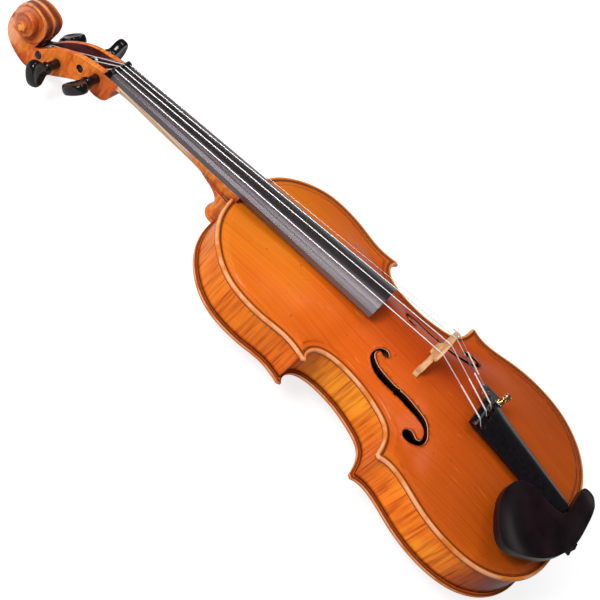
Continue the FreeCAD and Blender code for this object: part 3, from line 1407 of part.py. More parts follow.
addShape("tuner_frame", tunerFrame())
addShape("tuner_lever", tunerLever())
addShape("tuner_pin", tunerPin())
addShape("tuner_screw", tunerScrew())
addShape("tuner_knob", tunerKnob())
addShape("tuner_nut", tunerNut())
print("tuner done")


# ---------------------------------------------------------------- chinrest and its clamp
def restTop(x, y):
    """Height of the chinrest's upper side: a rising rim with a shallow dish."""
    rim = 15.6 + 0.15 * y + 0.02 * max(0.0, -x - 20)
    away = ((x + 53) / 27) ** 2 + ((y - 34) / 26) ** 2
    dish = 5.0 * math.exp(-away ** 1.6)
    wing = 1.2 * math.exp(-((x - 18) / 9) ** 2)
    edge = 1.4 * math.exp(-((y + 6) / 6) ** 2)
    return rim - dish + wing - edge


def restSurface(offset):
    grid = []
    for column in range(16):
        x = -104 + 150 * column / 15
        grid.append([Vector(x, -20 + 108 * row / 12, restTop(x, -20 + 108 * row / 12) + offset)
                     for row in range(13)])
    surface = Part.BSplineSurface()
    surface.interpolate(grid)
    return surface.toShape()


restPlan = [(33.4, 0.6), (32.6, 5.4), (29.4, 10.4), (24.4, 12.5), (17.0, 13.2), (6.0, 13.6), (-7, 14.4),
            (-14.0, 20), (-17.6, 33), (-20.6, 48), (-26.6, 59.4), (-35.4, 65.2), (-48, 68.4), (-60, 68.0),
            (-72.5, 64.0), (-83, 58.4), (-88.6, 51.0), (-86.6, 42.6), (-78.4, 32.0), (-68.7, 22.6),
            (-58.6, 13.4), (-47.4, 5.8), (-36, 0.6), (-22, -4.0), (-6, -6.0), (10, -6.2), (22, -5.4),
            (30.4, -3.4)]
clampX = size.clampSpread / 2
clampY = -size.clampReach
rodRadius = size.clampRodDiameter / 2
footGap = 0.1
restFoot = size.corkThickness + 2 * footGap
stripTop = restFoot + 2.5
bracketTop = backFace - size.lowerCorkThickness - 2 * footGap
barrelTop = -8.0
barrelFoot = barrelTop - size.barrelLength
screwX = 21.3


def chinrestShape():
    around = Part.BSplineCurve()
    around.interpolate(Points=[Vector(x, y, 0) for x, y in restPlan], PeriodicFlag=True)
    plate = prism([around], 0, 45)
    plate = plate.common(restSurface(0).extrude(Vector(0, 0, -40)))
    plate = plate.common(restSurface(-size.chinrestThickness).extrude(Vector(0, 0, 40)))
    roof = restSurface(-1.0).extrude(Vector(0, 0, -40))
    for start in (18.2, -24.4):
        foot = Part.makeBox(6.2, 7.6, 12, Vector(start, 0.9, restFoot))
        ledge = Part.makeBox(6.2, 8.5, 12, Vector(start, -6.0, stripTop + size.pieceGap))
        plate = plate.fuse(foot.fuse(ledge).common(roof))
    for side in (-1, 1):
        plate = plate.cut(Part.makeCylinder(1.15, 6, Vector(side * screwX, -4.6, stripTop - 1)))
    return plate


def upperBracket():
    strip = Part.makeBox(size.bracketWidth, 4.6, size.bracketThickness,
                         Vector(-size.bracketWidth / 2, -7.4, stripTop - size.bracketThickness))
    for side in (-1, 1):
        strip = strip.fuse(Part.makeCylinder(rodRadius, stripTop - (barrelTop - 6.5),
                                             Vector(side * clampX, clampY, barrelTop - 6.5)))
        strip = strip.cut(Part.makeCylinder(1.15, 6, Vector(side * screwX, -4.6, stripTop - 4)))
    return strip


def lowerBracket():
    strip = Part.makeBox(size.bracketWidth, 14.4, size.bracketThickness,
                         Vector(-size.bracketWidth / 2, -7.4, bracketTop - size.bracketThickness))
    window = Part.makeBox(12, 4.6, 6, Vector(-6, -3.0, bracketTop - 4))
    strip = strip.cut(window)
    for side in (-1, 1):
        strip = strip.fuse(Part.makeCylinder(rodRadius, barrelFoot + 6.5 - bracketTop + size.bracketThickness,
                                             Vector(side * clampX, clampY, bracketTop - size.bracketThickness)))
    return strip


def barrelShape():
    """A turnbuckle, measured from its own middle."""
    half = size.barrelLength / 2
    barrel = Part.makeCylinder(size.barrelDiameter / 2, size.barrelLength, Vector(0, 0, -half))
    barrel = barrel.makeChamfer(0.5, barrel.Edges)
    barrel = barrel.cut(Part.makeCylinder(rodRadius + 0.05, size.barrelLength + 2, Vector(0, 0, -half - 1)))
    hole = Part.makeCylinder(0.7, 12, Vector(-6, 0, 0), Vector(1, 0, 0))
    return barrel.cut(hole)


def bracketScrews():
    screws = []
    for side in (-1, 1):
        low = stripTop - size.bracketThickness
        head = Part.makeCylinder(2.0, 0.9, Vector(side * screwX, -4.6, low - 0.95))
        shaft = Part.makeCylinder(1.1, 5.4, Vector(side * screwX, -4.6, low - 0.95))
        slot = Part.makeBox(0.5, 5, 0.4, Vector(side * screwX - 0.25, -7.1, low - 1.0))
        screws.append(head.fuse(shaft).cut(slot))
    return Part.makeCompound(screws)


addShape("chinrest", chinrestShape())
restCorks = [Part.makeBox(6.2, 7.2, size.corkThickness, Vector(start, 1.3, footGap)) for start in (18.2, -24.4)]
restCorks = Part.makeCompound([cork.cut(underTop) for cork in restCorks])
addShape("chinrest_corks", restCorks)
addShape("clamp_upper_bracket", upperBracket())
for label, side in (("clamp_barrel_bass", -1), ("clamp_barrel_treble", 1)):
    barrel = addShape(label, barrelShape())
    barrel.Placement = FreeCAD.Placement(Vector(side * clampX, clampY, barrelTop - size.barrelLength / 2),
                                         Rotation())
addShape("clamp_lower_bracket", lowerBracket())
lowerCork = Part.makeBox(40, 4.6, size.lowerCorkThickness, Vector(-20, 2.2, bracketTop + footGap))
addShape("clamp_cork", lowerCork)
addShape("bracket_screws", bracketScrews())
print("chinrest done")


# ---------------------------------------------------------------- last checks and files
document.recompute()
for item in document.Objects:
    if "Invalid" in item.State or "Error" in item.State:
        raise RuntimeError("broken: " + item.Label)
for node in nodes:
    if node.Shape.isNull() or not node.Shape.isValid():
        raise RuntimeError("no good shape: " + node.Label)

# the finished violin stands over the origin, its lowest place on the ground
lowest = min(node.Shape.optimalBoundingBox().ZMin for node in nodes)
boxes = [node.Shape.optimalBoundingBox() for node in nodes]
middle = (min(box.YMin for box in boxes) + max(box.YMax for box in boxes)) / 2
shift = Vector(0, -middle, -lowest)
for node in nodes:
    node.Placement = FreeCAD.Placement(node.Placement.Base + shift, node.Placement.Rotation)
document.recompute()
os.makedirs("parts", exist_ok=True)
for node in nodes:
    node.Shape.exportStep("parts/" + node.Label + ".step")
print("shift", shift.y, shift.z)
print(len(nodes), "nodes written")
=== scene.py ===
import math

import bmesh
import bpy
import numpy as np
from mathutils import Matrix, Vector, geometry


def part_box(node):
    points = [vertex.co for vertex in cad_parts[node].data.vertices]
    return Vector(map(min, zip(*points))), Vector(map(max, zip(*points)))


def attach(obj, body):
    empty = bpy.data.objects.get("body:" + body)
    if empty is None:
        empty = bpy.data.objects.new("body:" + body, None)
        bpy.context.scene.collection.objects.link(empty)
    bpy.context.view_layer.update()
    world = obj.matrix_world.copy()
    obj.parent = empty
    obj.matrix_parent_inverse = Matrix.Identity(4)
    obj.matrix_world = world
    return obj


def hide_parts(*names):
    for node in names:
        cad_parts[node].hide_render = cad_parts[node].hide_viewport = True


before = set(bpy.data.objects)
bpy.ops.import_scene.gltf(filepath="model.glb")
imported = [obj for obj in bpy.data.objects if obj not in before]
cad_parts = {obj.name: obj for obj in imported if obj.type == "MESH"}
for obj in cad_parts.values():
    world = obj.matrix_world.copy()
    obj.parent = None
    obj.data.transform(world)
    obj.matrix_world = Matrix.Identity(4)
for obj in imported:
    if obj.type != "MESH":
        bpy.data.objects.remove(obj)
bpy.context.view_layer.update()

# Pieces are drawn in millimetres from the tail end of the body, with z up from the top plate's edge.
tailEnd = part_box("back_plate")[0][1]
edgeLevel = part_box("lower_rib_bass")[1][2] + 0.004
bodyLength = 360.0


# Drawing millimetres to metres in the frame
def place(points):
    points = np.asarray(points, float)
    return points / 1000 + np.array([0, tailEnd, edgeLevel])


# curves
# A C2 curve through points; returns a function of 0..1 that takes arrays
def smoothCurve(points):
    knots = np.asarray(points, float)
    steps = np.linalg.norm(np.diff(knots, axis=0), axis=1)
    at = np.concatenate([[0], np.cumsum(steps)])
    count = len(knots)
    system = np.zeros((count, count))
    target = np.zeros_like(knots)
    for row in range(1, count - 1):
        before, after = steps[row - 1], steps[row]
        system[row, row - 1:row + 2] = [before, 2 * (before + after), after]
        target[row] = 6 * ((knots[row + 1] - knots[row]) / after - (knots[row] - knots[row - 1]) / before)
    system[0, :3] = [1 / steps[0], -(1 / steps[0] + 1 / steps[1]), 1 / steps[1]]
    system[-1, -3:] = [1 / steps[-2], -(1 / steps[-2] + 1 / steps[-1]), 1 / steps[-1]]
    bend = np.linalg.solve(system, target)

    def value(share):
        where = at[0] + (at[-1] - at[0]) * np.asarray(share, float)
        cell = np.clip(np.searchsorted(at, where, side="right") - 1, 0, count - 2)
        width = steps[cell][..., None]
        right = (where - at[cell])[..., None] / width
        left = 1 - right
        return (left * knots[cell] + right * knots[cell + 1]
                + ((left ** 3 - left) * bend[cell] + (right ** 3 - right) * bend[cell + 1]) * width ** 2 / 6)

    return value


# materials
def newMaterial(name, colour, roughness, metallic=0.0, coat=0.0, coatRoughness=0.05, specular=0.5):
    material = bpy.data.materials.new(name)
    material.use_nodes = True
    shader = material.node_tree.nodes["Principled BSDF"]
    shader.inputs["Base Color"].default_value = (*colour, 1)
    shader.inputs["Roughness"].default_value = roughness
    shader.inputs["Metallic"].default_value = metallic
    shader.inputs["Coat Weight"].default_value = coat
    shader.inputs["Coat Roughness"].default_value = coatRoughness
    shader.inputs["Specular IOR Level"].default_value = specular
    return material


# Short names for the nodes a material needs
class Graph:
    def __init__(self, material):
        self.tree = material.node_tree
        self.shader = self.tree.nodes["Principled BSDF"]
        self.coordinates = None

    def add(self, kind, **values):
        node = self.tree.nodes.new(kind)
        for key, value in values.items():
            setattr(node, key, value)
        return node

    def link(self, source, target):
        self.tree.links.new(source, target)

    def position(self, scale=(1, 1, 1), source="Object"):
        if self.coordinates is None:
            self.coordinates = self.add("ShaderNodeTexCoord")
        mapping = self.add("ShaderNodeMapping")
        mapping.inputs["Scale"].default_value = scale
        self.link(self.coordinates.outputs[source], mapping.inputs["Vector"])
        return mapping.outputs["Vector"]

    def noise(self, vector, scale, detail=4.0, roughness=0.55, distortion=0.0):
        node = self.add("ShaderNodeTexNoise")
        node.inputs["Scale"].default_value = scale
        node.inputs["Detail"].default_value = detail
        node.inputs["Roughness"].default_value = roughness
        node.inputs["Distortion"].default_value = distortion
        self.link(vector, node.inputs["Vector"])
        return node.outputs["Fac"]

    def ramp(self, factor, stops):
        node = self.add("ShaderNodeValToRGB")
        elements = node.color_ramp.elements
        while len(elements) < len(stops):
            elements.new(0.5)
        for element, (where, colour) in zip(elements, stops):
            element.position = where
            element.color = (*colour, 1)
        self.link(factor, node.inputs["Fac"])
        return node.outputs["Color"]

    def math(self, operation, first, second=None, third=None, clamp=False):
        node = self.add("ShaderNodeMath", operation=operation, use_clamp=clamp)
        for socket, value in zip(node.inputs, (first, second, third)):
            if value is None:
                continue
            if isinstance(value, (int, float)):
                socket.default_value = value
            else:
                self.link(value, socket)
        return node.outputs[0]

    def line(self, value, scale, shift):  # the value scaled, then shifted
        return self.math("MULTIPLY_ADD", value, scale, shift)

    def minus(self, first, second):
        return self.math("SUBTRACT", first, second)

    def times(self, first, *others):
        for other in others:
            first = self.math("MULTIPLY", first, other)
        return first

    def mix(self, factor, first, second, blend="MIX"):
        node = self.add("ShaderNodeMix", data_type="RGBA", blend_type=blend)
        sockets = [socket for socket in node.inputs if socket.enabled]
        for socket, value in zip(sockets, (factor, first, second)):
            if isinstance(value, (int, float)):
                socket.default_value = value
            elif isinstance(value, tuple):
                socket.default_value = (*value, 1)
            else:
                self.link(value, socket)
        return [socket for socket in node.outputs if socket.enabled][0]

    def tint(self, base, colour, mask, share=1.0):  # the colour over the base, where the mask is
        return self.mix(mask if share == 1 else self.times(mask, share), base, colour)

    def stain(self, base, factor, stops, share=1.0):  # the base times the colours of a ramp
        return self.mix(share, base, self.ramp(factor, stops), "MULTIPLY")

    def separate(self, vector):
        node = self.add("ShaderNodeSeparateXYZ")
        self.link(vector, node.inputs[0])
        return node.outputs

    def span(self, value, low, high):  # 0 below low and 1 above high, or the other way round, softly between
        node = self.add("ShaderNodeMapRange", interpolation_type="SMOOTHSTEP")
        node.inputs["From Min"].default_value = low
        node.inputs["From Max"].default_value = high
        self.link(value, node.inputs["Value"])
        return node.outputs["Result"]

    def between(self, value, rise, fall):
        return self.times(self.span(value, *rise), self.span(value, *fall))

    def alongBody(self):  # 0 at the body's tail end and 1 at its neck end
        length = bodyLength / 1000
        return self.line(self.separate(self.position())[1], 1 / length, -tailEnd / length)

    def facing(self, output="Normal"):
        return self.separate(self.add("ShaderNodeNewGeometry").outputs[output])

    # 0 on flats and up to 1 along sharp edges, with the rounded normal that goes with it
    def edgeWear(self, radius):
        rounded = self.add("ShaderNodeBevel", samples=4)
        rounded.inputs["Radius"].default_value = radius
        flat = self.add("ShaderNodeNewGeometry")
        turn = self.add("ShaderNodeVectorMath", operation="DOT_PRODUCT")
        self.link(rounded.outputs["Normal"], turn.inputs[0])
        self.link(flat.outputs["Normal"], turn.inputs[1])
        return self.span(turn.outputs["Value"], 0.97, 0.80), rounded.outputs["Normal"]

    # Painted shade with old varnish: 1 in corners and channels, found by ambient occlusion, and 0 in the open
    def shadeAndOldVarnish(self, distance, light, dark):
        node = self.add("ShaderNodeAmbientOcclusion", samples=6)
        node.inputs["Distance"].default_value = distance
        return self.span(node.outputs["AO"], light, dark)

    def bump(self, height, strength, distance, normal=None):
        node = self.add("ShaderNodeBump")
        node.inputs["Strength"].default_value = strength
        node.inputs["Distance"].default_value = distance
        self.link(height, node.inputs["Height"])
        if normal is not None:
            self.link(normal, node.inputs["Normal"])
        self.link(node.outputs["Normal"], self.shader.inputs["Normal"])

    def paint(self, colour):
        self.link(colour, self.shader.inputs["Base Color"])


varnish = {"roughness": 0.30, "coat": 0.04, "coatRoughness": 0.1, "specular": 0.11}

# Colours and bands of a plate's rolled edge, over the inset and the drop below the crest, both in 20 mm; the
# worn colour is partly a painted highlight and the foot colour a painted shadow where the edge meets the rib
rolledEdge = {
    "shade": (0.12, 0.022, 0.006), "gold": (0.70, 0.19, 0.026), "worn": (0.84, 0.39, 0.19),
    "foot": (0.26, 0.042, 0.010), "shadeInset": (0.27, 0.17), "goldInset": (0.135, 0.105),
    "wornHighlightInset": (0.085, 0.05), "wander": 0.016,
    "top": {"worn": (-0.12, -0.08), "foot": (-0.10, -0.135)},
    "back": {"worn": (-0.07, -0.11), "foot": (-0.150, -0.165)},
}


# A darker band inside, gold crest, a pale worn outer round that is partly a painted highlight, and a dark red
# foot towards the rib that is a painted shadow where the edge meets the rib
def edgeTone(graph, base, side):
    inset, drop = graph.separate(graph.position(source="UV"))[:2]
    uneven = graph.noise(graph.position(), 70.0, 3.0)
    wander = rolledEdge["wander"]
    inset = graph.math("ADD", inset, graph.line(uneven, wander, -wander / 2))
    shaded = graph.mix(0.8, base, rolledEdge["shade"])
    base = graph.tint(base, shaded, graph.span(inset, *rolledEdge["shadeInset"]))
    base = graph.tint(base, rolledEdge["gold"], graph.span(inset, *rolledEdge["goldInset"]))
    drops = rolledEdge[side]
    # the pale worn round is partly a painted highlight
    worn = graph.times(graph.span(inset, *rolledEdge["wornHighlightInset"]), graph.span(drop, *drops["worn"]),
                       graph.span(uneven, 0.34, 0.58))
    base = graph.tint(base, rolledEdge["worn"], worn)
    # the dark red foot is a painted shadow
    return graph.tint(base, rolledEdge["foot"], graph.span(drop, *drops["foot"]))


spruce = {
    "along": [(0.0, (0.47, 0.090, 0.0065)), (0.3, (0.56, 0.090, 0.0060)), (0.55, (0.70, 0.113, 0.0075)),
              (0.72, (0.76, 0.148, 0.0090)), (0.88, (0.76, 0.195, 0.0105)), (1.0, (0.72, 0.195, 0.0125))],
    # across: painted shade, darker towards the treble side
    "across": [(0.0, (1.02, 1.06, 1.0)), (0.45, (1, 1, 1)), (1.0, (0.80, 0.72, 0.7))],
    "mottling": [(0.35, (0.87, 0.79, 0.76)), (0.65, (1.04, 1.1, 1.1))],
    "grain": [(0.32, (0.86, 0.76, 0.7)), (0.5, (1, 1, 1)), (0.7, (1.05, 1.08, 1.04))],
    # red is a darker red, partly painted shade round the bridge's treble foot
    "golden": (0.72, 0.185, 0.010), "redShade": (0.40, 0.034, 0.004), "speck": (0.16, 0.025, 0.006),
    # the rubbed colour is a painted highlight on the sound holes' edges, and the inside colour painted shade
    "scratch": (0.86, 0.30, 0.06), "paleHighlight": (0.98, 0.56, 0.40), "inside": (0.045, 0.011, 0.008),
    "redShadeOval": ((22.0, -0.66), (13.0, 1.35)),  # scale and shift of x and of y, round the bridge's treble foot
}


# Varnished spruce: straight grain along y, golden at the neck end and redder towards the tail
def spruceMaterial():
    material = newMaterial("top_spruce_varnish", spruce["golden"], **varnish)
    graph = Graph(material)
    x, y, _ = graph.separate(graph.position())
    grain = graph.noise(graph.position((300, 2.0, 2.0)), 4.0, 3.0, 0.5)
    cloud = graph.noise(graph.position(), 11.0, 3.0, 0.55)
    wide = graph.noise(graph.position((1.2, 1, 1)), 5.0, 2.0, 0.5)
    speck = graph.noise(graph.position(), 260.0, 2.0, 0.6)
    scratch = graph.noise(graph.position((650, 45, 1)), 1.0, 1.0, 0.4)
    base = graph.ramp(graph.math("ADD", graph.alongBody(), graph.line(cloud, 0.5, -0.25)), spruce["along"])
    # painted shade: darker on the treble side, away from the key lamp
    base = graph.stain(base, graph.line(x, 5.0, 0.5), spruce["across"])
    # golden patches on the bass side
    golden = graph.times(graph.span(cloud, 0.50, 0.62), graph.span(x, 0.02, -0.03))
    base = graph.tint(base, spruce["golden"], golden, 0.40)
    # darker red round the bridge's treble foot, partly painted shade on the treble side of the bridge
    aside, beyond = [graph.line(value, *oval) for value, oval in zip((x, y), spruce["redShadeOval"])]
    away = graph.math("ADD", graph.times(aside, aside), graph.times(beyond, beyond))
    base = graph.tint(base, spruce["redShade"], graph.span(away, 1.7, 0.2), 0.66)
    base = graph.stain(base, wide, spruce["mottling"], 0.8)
    base = graph.stain(base, grain, spruce["grain"], 0.85)
    base = graph.tint(base, spruce["speck"], graph.span(speck, 0.68, 0.78), 0.6)
    # short worn scratches with the grain, about the bridge
    worn = graph.times(graph.span(away, 9.0, 2.0), graph.span(scratch, 0.73, 0.78))
    base = edgeTone(graph, graph.tint(base, spruce["scratch"], worn, 0.5), "top")
    # painted highlight on the sound holes' edges where they face the bass side, towards the key lamp, and
    # painted shade on the wood inside
    inside = graph.separate(graph.position(source="UV"))[1]
    bassward = graph.span(graph.facing("True Normal")[0], -0.1, -0.3)
    paleHighlight = graph.times(graph.span(inside, 0.02, 0.08), bassward)
    base = graph.tint(base, spruce["paleHighlight"], paleHighlight, 0.9)
    graph.paint(graph.tint(base, spruce["inside"], graph.span(inside, 0.4, 0.6)))
    graph.bump(graph.math("ADD", grain, graph.times(cloud, 1.5)), 0.06, 0.0004)
    return material


maple = {
    "flames": 270, "bands": 70,  # fine and broad stripes over a metre, before a piece's own rate
    "mottling": [(0.32, (0.86, 0.62, 0.55)), (0.5, (1, 1, 1)), (0.7, (1.06, 1.22, 1.2))],
    "fine": [(0.3, (0.84, 0.78, 0.74)), (0.6, (1, 1, 1))],
    # the crevice colour is painted shade with old varnish, the inside colour painted shade, and the worn
    # colour, on pale worn edges, partly a painted highlight
    "shadeAndOldVarnish": (0.17, 0.024, 0.009), "worn": (0.88, 0.43, 0.20), "inside": (0.030, 0.009, 0.007),
}


# Varnished maple with flame across the first UV axis, which runs along the strip in metres, or across y
def mapleMaterial(name, rate, light, dark, source, axes, bead=False, wear=0.0, deep=None, along=None):
    material = newMaterial(name, light, **varnish)
    graph = Graph(material)

    def stretched(scale):
        return graph.position(tuple(scale * axis for axis in axes), source)

    flame = graph.noise(stretched(maple["flames"] * rate), 1.0, 2.0, 0.55, 0.3)
    broad = graph.noise(stretched(maple["bands"] * rate), 1.0, 2.0, 0.5, 0.3)
    patch = graph.noise(graph.position(), 16.0, 2.0, 0.5)
    stripes = graph.line(graph.minus(flame, 0.5), graph.line(broad, 0.55, 0.2), 0.5)
    middle = tuple(0.6 * a + 0.4 * b for a, b in zip(light, dark))
    bright = tuple(1.1 * channel for channel in light)
    base = graph.ramp(stripes, [(0.37, dark), (0.46, middle), (0.53, light), (0.63, bright)])
    base = graph.stain(base, patch, maple["mottling"], 0.9)
    threads = (700, 60, 700) if source == "Object" else (50, 1000, 1000)
    base = graph.stain(base, graph.noise(graph.position(threads, source), 1.0, 2.0, 0.5), maple["fine"], 0.4)
    # the along tones carry painted shade and painted light, with some redder tone
    if along:  # tones over the body's length, tail first
        base = graph.stain(base, graph.alongBody(), along)
    if bead:
        # painted shade: the back plate's underside is dark
        inside = graph.separate(graph.position(source="UV"))[1]
        base = graph.tint(edgeTone(graph, base, "back"), maple["inside"], graph.span(inside, 0.4, 0.6))
    # painted shade, with old varnish, darkens corners and channels
    if deep:
        base = graph.tint(base, maple["shadeAndOldVarnish"], graph.shadeAndOldVarnish(*deep), 0.8)
    normal = None
    # pale worn edges, partly a painted highlight along them
    if wear:
        edges, normal = graph.edgeWear(wear)
        base = graph.tint(base, maple["worn"], edges, 0.85)
    graph.paint(base)
    graph.bump(flame, 0.04, 0.0005, normal)
    return material, graph, base


# The pale outer turn, the bright eye and the ridge are painted highlights; the dark inner turns, underside,
# chin, flutes and pegbox are painted shade.
# Colours of the neck and head, and the places along y, in metres of the frame, where each comes and goes.
# The eye's place is its y and z, and the rim's half width is a slope along y and a width at the middle
head = {
    "light": (0.84, 0.225, 0.028), "dark": (0.38, 0.058, 0.010), "blotch": (0.55, 0.075, 0.014),
    "paleHighlight": (0.94, 0.50, 0.33), "outerTurn": (0.276, 0.2945),
    "turns": (0.34, 0.048, 0.016), "eye": (0.96, 0.40, 0.06), "eyePlace": (0.2809, 0.0344),
    "under": (0.30, 0.035, 0.010), "undersideShadePlace": (0.1995, 0.205),
    "chin": (0.46, 0.070, 0.012), "chinPlace": ((0.190, 0.195), (0.220, 0.206)),
    "shaft": [(0.35, (0.50, 0.25, 0.11)), (0.5, (0.80, 0.54, 0.33)), (0.65, (0.90, 0.70, 0.50))],
    "shaftPlace": ((0.108, 0.128), (0.1945, 0.1915)),
    "flute": (0.11, 0.015, 0.011), "ridge": (0.86, 0.42, 0.15), "volutePlace": (0.2636, 0.2646),
    "backPlace": (0.216, 0.226), "rimMiddle": 0.2806, "rimHalf": (-0.065, 0.0089),
}
# the pegbox tone is painted shade inside the pegbox
pegbox = {
    "tone": [(0.35, (0.030, 0.008, 0.010)), (0.65, (0.125, 0.032, 0.028))], "start": 0.2089,
    "place": ((0.2052, 0.2062), (0.2655, 0.2640)), "floor": (-3.5, -0.4, 0.0389),
    "nearCheek": (-0.015, 0.0080), "farCheek": (-0.117, 0.01136),
}


# 1 in the pegbox, where its painted shade goes; its floor falls from the nut towards the volute and its walls
# close in
def pegboxShade(graph, y, z, across):
    run = graph.minus(y, pegbox["start"])
    bend, slope, level = pegbox["floor"]
    floor = graph.line(run, slope, graph.line(graph.times(run, run), bend, level))
    above = graph.span(graph.minus(z, floor), -0.0008, 0.0008)
    cheek = graph.math("MINIMUM", graph.line(run, *pegbox["nearCheek"]), graph.line(run, *pegbox["farCheek"]))
    within = graph.span(graph.minus(across, cheek), 0.0006, 0.0003)
    return graph.times(above, within, graph.between(y, *pegbox["place"]))


# The neck and head: flamed cheeks, a pegbox painted dark as shade, a fluted rim in painted shade and
# highlight, a bare shaft and pale worn edges that are partly a painted highlight
def headMaterial():
    material, graph, base = mapleMaterial("neck_maple", 1.25, head["light"], head["dark"], "Object",
                                          (0.10, 1, 0.22), wear=0.0010, deep=(0.012, 0.90, 0.52))
    x, y, z = graph.separate(graph.position())
    across = graph.math("ABSOLUTE", x)
    blotch = graph.noise(graph.position(), 75.0, 3.0, 0.6)
    base = graph.tint(base, head["blotch"], graph.span(blotch, 0.50, 0.66), 0.75)
    # painted highlight on the volute's outer turn, painted shade on the inner turns, and a painted highlight
    # on the eye
    paleHighlight = graph.times(graph.span(y, *head["outerTurn"]), graph.span(blotch, 0.66, 0.46))
    base = graph.tint(base, head["paleHighlight"], paleHighlight, 0.62)
    squares = [graph.math("POWER", graph.minus(value, middle), 2.0)
               for value, middle in zip((y, z), head["eyePlace"])]
    away = graph.math("SQRT", graph.math("ADD", *squares))
    base = graph.tint(base, head["turns"], graph.between(away, (0.0135, 0.0095), (0.0036, 0.0050)), 0.5)
    base = graph.tint(base, head["eye"], graph.span(away, 0.0042, 0.0030), 0.55)
    # painted shade: the head's underside, where it faces down, and the chin are darker red
    sideways, _, up = graph.facing()
    under = graph.times(graph.span(up, 0.0, -0.6), graph.span(y, *head["undersideShadePlace"]))
    base = graph.tint(base, head["under"], under, 0.7)
    base = graph.tint(base, head["chin"], graph.between(y, *head["chinPlace"]), 0.5)
    streak = graph.noise(graph.position((420, 5, 420)), 1.0, 2.0, 0.5)
    base = graph.tint(base, graph.ramp(streak, head["shaft"]), graph.between(y, *head["shaftPlace"]))
    # painted shade: the pegbox is dark inside
    dusk = graph.noise(graph.position(), 60.0, 3.0)
    base = graph.tint(base, graph.ramp(dusk, pegbox["tone"]), pegboxShade(graph, y, z, across))
    # two flutes with a ridge between them run round the rim of the volute and down the back: painted shade in
    # the flutes and a painted highlight on the ridge, with a bump for the flutes
    back = graph.times(graph.span(up, -0.25, -0.5), graph.span(y, *head["backPlace"]))
    rim = graph.times(graph.span(graph.math("ABSOLUTE", sideways), 0.7, 0.45),
                      graph.math("MAXIMUM", graph.span(y, *head["volutePlace"]), back))
    half = graph.line(graph.minus(y, head["rimMiddle"]), *head["rimHalf"])
    share = graph.math("MINIMUM", graph.math("DIVIDE", across, half), 1.0)
    wave = graph.math("SINE", graph.times(share, math.pi))
    flute = graph.times(rim, graph.times(wave, wave))
    base = graph.tint(base, head["flute"], graph.math("MULTIPLY", flute, 1.7, clamp=True), 0.85)
    graph.paint(graph.tint(base, head["ridge"], graph.times(rim, graph.span(across, 0.0009, 0.0002)), 0.55))
    grained = graph.shader.inputs["Normal"].links[0].from_socket
    graph.bump(graph.times(flute, -1.0), 0.9, 0.0012, grained)
    return material


# One colour with fine uneven tone and grain; edges show where wear is given
def plainMaterial(name, colour, roughness, metallic=0.0, coat=0.0, coatRoughness=0.05, specular=0.5,
                  speck=0.25, scale=400.0, stretch=(1, 1, 1), bump=0.05, wear=0.0, worn=None, fade=None):
    material = newMaterial(name, colour, roughness, metallic, coat, coatRoughness, specular)
    graph = Graph(material)
    tone = graph.noise(graph.position(stretch), scale, 4.0)
    low = tuple(channel * (1 - speck) for channel in colour)
    high = tuple(min(1.0, channel * (1 + speck)) for channel in colour)
    base = graph.ramp(tone, [(0.35, low), (0.65, high)])
    # painted shade under the strings and a painted sheen, paler, on the bass side towards the lower end
    if fade:  # darker under the strings, and paler on the bass side towards the lower end
        x, y, _ = graph.separate(graph.position())
        bass = graph.tint(base, fade["sheenColour"], graph.span(y, *fade["along"]))
        base = graph.tint(fade["centreShadeColour"], bass, graph.span(x, *fade["across"]))
    normal = None
    if wear:
        edges, normal = graph.edgeWear(wear)
        base = graph.tint(base, worn, edges, 0.6)
    graph.paint(base)
    graph.bump(tone, bump, 0.0003, normal)
    return material


# Painted shade, dark at the tail and at the corners, and painted light along the bouts, with some redder tone,
# over the ribs' length
ribShadeAndTone = [(0.0, (0.10, 0.03, 0.04)), (0.06, (0.24, 0.10, 0.14)), (0.11, (0.50, 0.30, 0.35)),
            (0.17, (0.98, 0.86, 0.85)), (0.23, (1.22, 1.34, 1.2)), (0.34, (1.24, 1.18, 1.15)),
            (0.42, (0.92, 0.68, 0.7)), (0.50, (1.06, 1.18, 1.1)), (0.60, (1.0, 1.04, 1.0)),
            (0.66, (0.86, 0.58, 0.7)), (0.76, (0.96, 0.80, 0.8)), (0.88, (1.0, 1.0, 1.0)),
            (1.0, (0.98, 0.92, 0.9))]  # over the body's length, tail first
looks = {
    "spruce": spruceMaterial(),
    "maple": mapleMaterial("maple_varnish", 0.8, (0.76, 0.21, 0.022), (0.42, 0.078, 0.010), "Object",
                           (0.03, 1, 0.3), bead=True)[0],
    "ribs": mapleMaterial("rib_maple", 1.55, (0.98, 0.29, 0.020), (0.50, 0.070, 0.006), "UV", (1, 0.05, 0.05),
                          deep=(0.010, 0.72, 0.25), along=ribShadeAndTone)[0],
    "head": headMaterial(),
}
